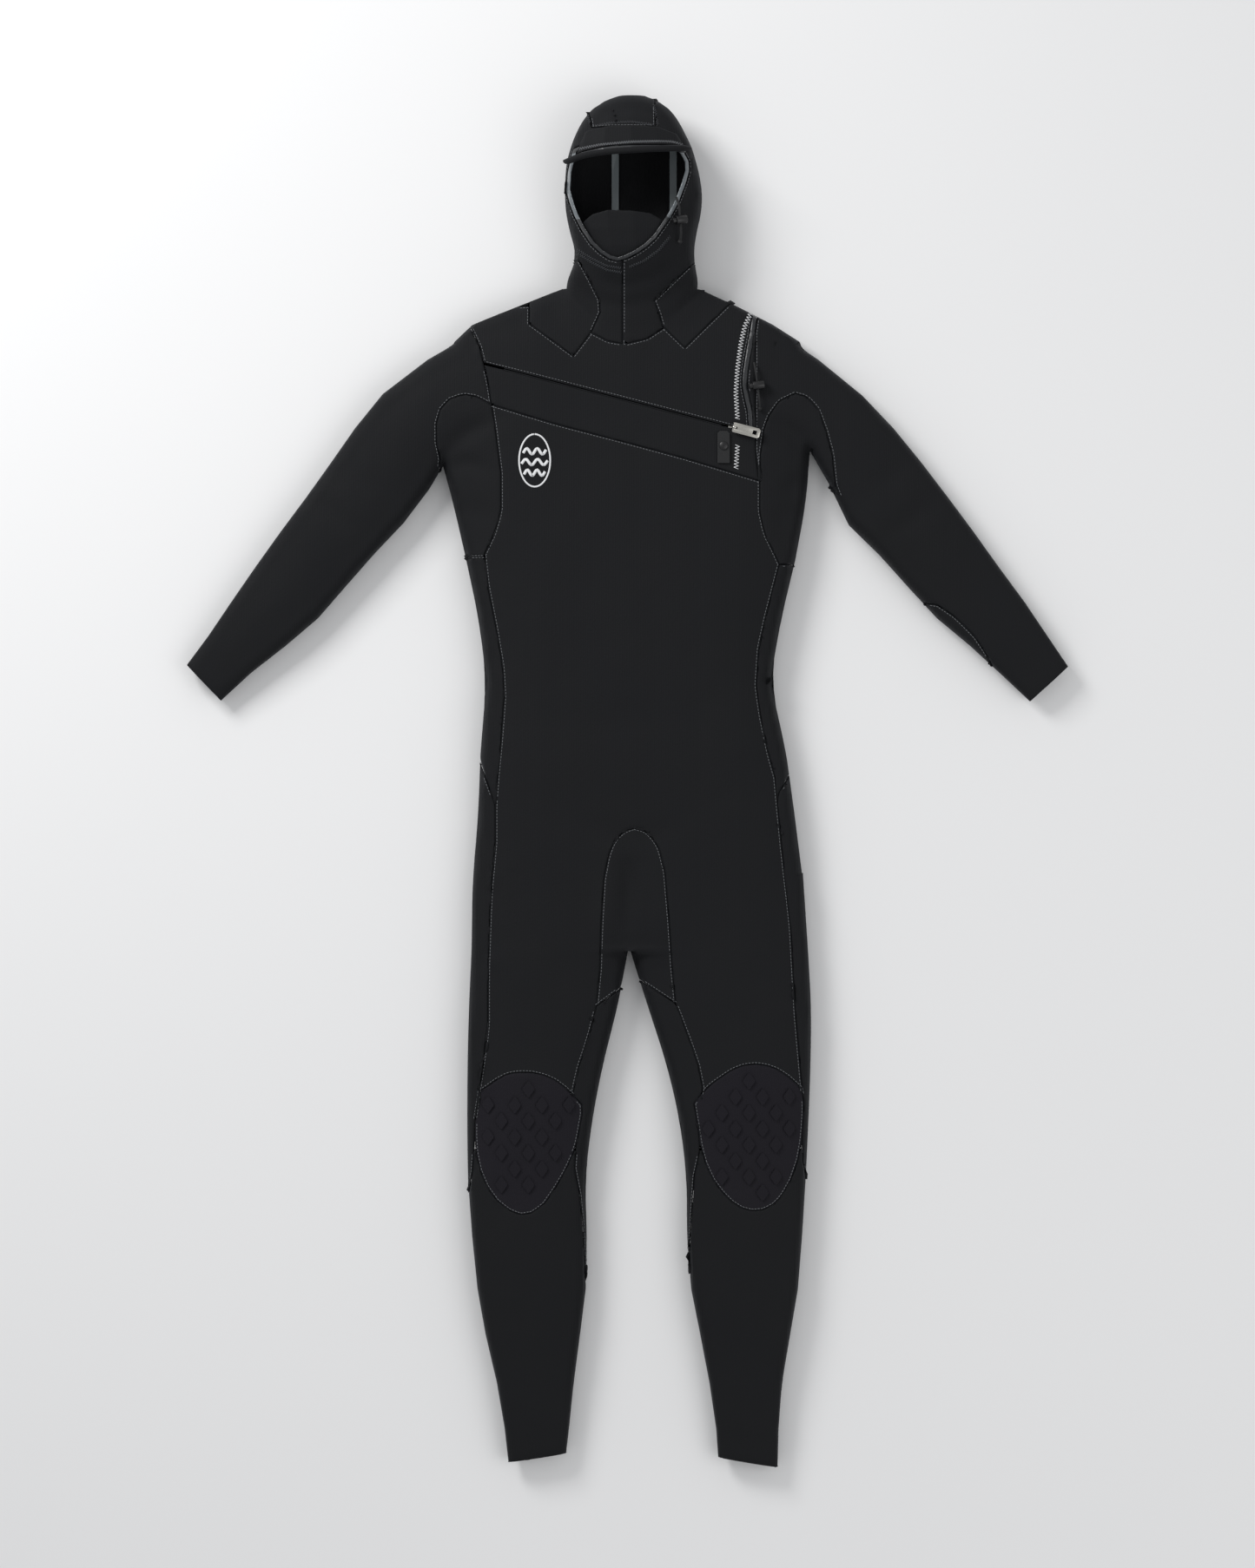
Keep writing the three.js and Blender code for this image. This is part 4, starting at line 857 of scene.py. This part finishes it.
# %% The beads
ZIP_AIM = (ZIP_OPEN - ZIP_CLOSED).normalized()
ZIP_ASIDE = Vector((-ZIP_AIM.y, ZIP_AIM.x))
BEAD = 0.75 * MM
BEAD_START, BEAD_STEP, BEAD_POINTS = 16, 5.7, 49 # along the zip from its closed end
CLOTH_ASIDE, BEAD_ASIDE = 3.4 * MM, 1.25 * MM # where the cloth's height is read, and where the bead lies
BEAD_DROP = 0.8 * MM
for name, aside in (("upper", -1), ("lower", 1)):
    line = []
    for k in range(BEAD_POINTS):
        spot = ZIP_CLOSED + ZIP_AIM * (BEAD_START + k * BEAD_STEP) * MM
        beside = spot + ZIP_ASIDE * aside * CLOTH_ASIDE
        z = on_front(beside.x, beside.y)
        if z is not None:
            edge = spot + ZIP_ASIDE * aside * BEAD_ASIDE
            line.append(Vector((edge.x, edge.y, z - BEAD_DROP)))
    bead = rod(f"zip_lip_{name}", line, BEAD, neoprene)
    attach(bead, ROOT)
    print(name, "lip", len(line), "points")

# %% [markdown]
# ## Knee pads
#
# Raised blocks of rubber are pressed on the knee pads in staggered rows. Plain lozenges are used, 16 by 22 mm
# and 2.1 mm proud of the cloth. Each starts as a four-sided circle. A bevel rounds its corners and two insets
# raise its top.

# %% Lozenges
ACROSS, UP_ROW = 33 * MM, 19.5 * MM
TOP_MARGIN = 20 * MM
LOZENGE = (8 * MM, 11 * MM)
CLEAR_OF_EDGE = 4 * MM
PROUD = (-0.3 * MM, 1.7 * MM, 2.1 * MM) # of the block's foot, its shoulder and its top


def inside_ring(x, y, ring):
    inside = False
    for (a, _), (b, _) in zip(ring, ring[1:] + ring[:1]):
        if (a.y > y) != (b.y > y) and x < a.x + (y - a.y) * (b.x - a.x) / (b.y - a.y):
            inside = not inside
    return inside


def lozenge(bm, cx, cy):
    made = bmesh.new()
    bmesh.ops.create_circle(made, cap_ends=True, segments=4, radius=1)
    bmesh.ops.scale(made, vec=(LOZENGE[0], LOZENGE[1], 1), verts=made.verts)
    bmesh.ops.bevel(made, geom=made.verts[:], offset=2.4 * MM, segments=3, profile=0.5, affect="VERTICES",
                    material=-1)
    face = max(made.faces, key=lambda f: f.calc_area())
    if face.normal.z < 0:
        face.normal_flip()
    level = {v: 0 for v in made.verts}
    for step, width in ((1, 0.9 * MM), (2, 2.2 * MM)):
        bmesh.ops.inset_region(made, faces=[face], thickness=width)
        for vert in face.verts:
            level[vert] = step
    bmesh.ops.holes_fill(made, edges=[e for e in made.edges if e.is_boundary])
    for vert in made.verts:
        vert.co.x += cx
        vert.co.y += cy
        vert.co.z = on_front(vert.co.x, vert.co.y) + PROUD[level[vert]]
    mesh = bpy.data.meshes.new("lozenge")
    made.to_mesh(mesh)
    made.free()
    bm.from_mesh(mesh)
    bpy.data.meshes.remove(mesh)


for name in ("knee_pad_right", "knee_pad_left"):
    ring = max(outlines[name], key=lambda skin: abs(area_of([p for p, _ in skin[1]])))[1]
    xs, ys = [p.x for p, _ in ring], [p.y for p, _ in ring]
    middle = (min(xs) + max(xs)) / 2
    wide, tall = (half + CLEAR_OF_EDGE for half in LOZENGE)
    bm = bmesh.new()
    count = 0
    for row in range(int((max(ys) - min(ys)) / UP_ROW) + 1):
        cy = max(ys) - TOP_MARGIN - row * UP_ROW
        for column in range(-4, 5):
            cx = middle + (column + 0.5 * (row % 2)) * ACROSS
            tips = ((cx, cy + tall), (cx, cy - tall), (cx - wide, cy), (cx + wide, cy))
            if all(inside_ring(x, y, ring) for x, y in tips):
                lozenge(bm, cx, cy)
                count += 1
    bmesh.ops.recalc_face_normals(bm, faces=bm.faces)
    blocks = put(bm, name + "_blocks", knee_jersey)
    print(name, count, "lozenges")

# %% [markdown]
# ## Chest print
#
# A small white print on the wearer's right chest: an upright oval with three waves in it, a plain sign of the
# sea.

# %% The print
PRINT_CENTRE = (-113, 393)
PRINT_HALF = (19, 32)
PRINT_LIFT = 0.3 * MM


def ribbon(bm, points, width, height_at, lift):
    """A flat strip along a line, laid on the cloth."""
    spots = walk([Vector(p) * MM for p in points], 0.9 * MM)
    before = None
    for spot, way in spots:
        across = Vector((-way.y, way.x)) * width / 2
        pair = []
        for place in (spot - across, spot + across):
            pair.append(bm.verts.new((place.x, place.y, height_at(place.x, place.y) + lift)))
        if before:
            bm.faces.new((before[0], pair[0], pair[1], before[1]))
        before = pair


oval = [(PRINT_CENTRE[0] + PRINT_HALF[0] * math.sin(a / 20 * math.pi),
         PRINT_CENTRE[1] + PRINT_HALF[1] * math.cos(a / 20 * math.pi)) for a in range(41)]
bm = bmesh.new()
ribbon(bm, oval, 2.0 * MM, on_front, PRINT_LIFT)
for dy, reach in ((11, 14), (-2, 16), (-15, 13)):
    wave = [(PRINT_CENTRE[0] + reach * s / 10, PRINT_CENTRE[1] + dy + 3.6 * math.sin(s * 0.22 * math.pi))
            for s in range(-10, 11)]
    ribbon(bm, wave, 3.4 * MM, on_front, PRINT_LIFT)
bmesh.ops.recalc_face_normals(bm, faces=bm.faces)
if sum(f.normal.z for f in bm.faces) < 0:
    bmesh.ops.reverse_faces(bm, faces=bm.faces)
chest_print = put(bm, "chest_print", print_ink)
film = chest_print.modifiers.new("film", "SOLIDIFY")
film.thickness = 0.3 * MM

# %% [markdown]
# ## Fittings
#
# The slider, its pull, the snap and the cord locks are castings and mouldings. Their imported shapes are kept,
# in merged copies whose edges get the small round that every mould leaves.

# %% Rounded fittings
FITTING_FINISH = {"cast_zinc": nickel, "moulded_acetal": acetal, "moulded_zip_teeth": zip_acetal,
                  "spring_steel": spring_wire}
EDGE_ROUND = 0.28 * MM # the springs' wire is round already
for name in sorted(n for n in nodes if slot_of[n] in FITTING_FINISH):
    bm = bmesh.new()
    bm.from_mesh(nodes[name].data)
    bmesh.ops.remove_doubles(bm, verts=bm.verts, dist=0.005 * MM)
    bmesh.ops.dissolve_limit(bm, angle_limit=math.radians(1), verts=bm.verts, edges=bm.edges)
    sharp = [e for e in bm.edges if e.is_manifold and e.calc_face_angle() > math.radians(50)]
    if slot_of[name] != "spring_steel":
        bmesh.ops.bevel(bm, geom=sharp, offset=EDGE_ROUND, segments=2, profile=0.5, affect="EDGES",
                        material=-1, clamp_overlap=True)
    fitting = put(bm, name + "_fitting", FITTING_FINISH[slot_of[name]], body_of(nodes[name])[0])
    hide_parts(name)
print("fittings rounded")

# %% [markdown]
# ## Cords
#
# Each cord is a short length of 2.8 mm braided cord. It comes out of the edge of its opening, passes through
# its lock and ends in a knot. It is short and stiff for its size, so it follows the lock rather than hanging.

# %% Cord routes
CORD_RADIUS = 1.4 * MM
KNOT_RADIUS = 2.6 * MM
STRAIGHT = 13.5 * MM # on each side of the lock's centre the cord runs straight for this far
EASE = 5 * MM # past that, the pull on each bend
ROUTES = {
    # where the cord leaves its opening, the knot, the lock's centre and the cord's run through it
    "shoulder": ((154.16, 512.03, 51.66), (161.26, 456.05, 53.16), (158.156, 484.124, 57.908),
                 (0.12403, -0.99226, 0.00543)),
    "hood": ((58.88, 707.68, 95.04), (63.43, 655.48, 83.98), (63.546, 680.71, 95.435),
             (0.07471, -0.97122, -0.22615)),
}


def bend(a, b, c, steps=10):
    return [a.lerp(b, s / steps).lerp(b.lerp(c, s / steps), s / steps) for s in range(steps + 1)]


for name, (start, end, centre, run) in ROUTES.items():
    first, last, centre = Vector(start) * MM, Vector(end) * MM, Vector(centre) * MM
    run = Vector(run).normalized()
    path = bend(first, centre - run * (STRAIGHT + EASE), centre - run * STRAIGHT)
    path += [centre - run * STRAIGHT * (1 - s / 4) for s in range(1, 8)]
    path += bend(centre + run * STRAIGHT, centre + run * (STRAIGHT + EASE), last)
    curve = bpy.data.curves.new(name + "_braided_cord", "CURVE")
    curve.dimensions = "3D"
    curve.bevel_depth = CORD_RADIUS
    curve.bevel_resolution = 4
    curve.use_fill_caps = True
    spline = curve.splines.new("POLY")
    spline.points.add(len(path) - 1)
    for place, spot in zip(spline.points, path):
        place.co = (*spot, 1)
    braid = bpy.data.objects.new(name + "_braided_cord", curve)
    bpy.context.collection.objects.link(braid)
    curve.materials.append(webbing)
    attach(braid, ROOT)
    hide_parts(name + "_cord")
    bm = bmesh.new()
    bmesh.ops.create_icosphere(bm, subdivisions=3, radius=KNOT_RADIUS, matrix=Matrix.Translation(last))
    for vert in bm.verts:
        out = (vert.co - last).normalized()
        vert.co += out * 0.35 * MM * math.sin(9 * out.angle(run) + 2 * math.atan2(out.y, out.x))
    knot = put(bm, name + "_cord_knot", webbing)

# %% [markdown]
# ## Floor and light
#
# A pale floor and one large soft light from above the wearer's right shoulder, with a weak fill from the
# other side. A pale sky lights the rest.

# %% The stage
FLOOR_DROP = 0.4 * MM
floor_mesh = bpy.data.meshes.new("floor")
bm = bmesh.new()
bmesh.ops.create_grid(bm, x_segments=1, y_segments=1, size=6)
bm.to_mesh(floor_mesh)
bm.free()
floor = bpy.data.objects.new("floor", floor_mesh)
floor.location.z = -FLOOR_DROP
bpy.context.collection.objects.link(floor)
paper, _ = finish("pale_paper", "#E9E9E9", 0.9)
floor.data.materials.append(paper)


def soft_light(name, place, aim, size, power):
    data = bpy.data.lights.new(name, "AREA")
    data.shape = "SQUARE"
    data.size = size
    data.energy = power
    light = bpy.data.objects.new(name, data)
    light.location = place
    light.rotation_euler = (Vector(aim) - Vector(place)).to_track_quat("-Z", "Y").to_euler()
    bpy.context.collection.objects.link(light)


soft_light("key_light", (-1.9, 2.1, 1.9), (0, 0, 0), 1.2, 68)
soft_light("fill_light", (2.0, -0.6, 2.6), (0, 0, 0), 2.2, 22)
world = bpy.data.worlds.new("studio")
world.use_nodes = True
world.node_tree.nodes["Background"].inputs["Color"].default_value = linear("#EDEEF0")
world.node_tree.nodes["Background"].inputs["Strength"].default_value = 0.62
bpy.context.scene.world = world

# %% The end
bpy.context.view_layer.update()
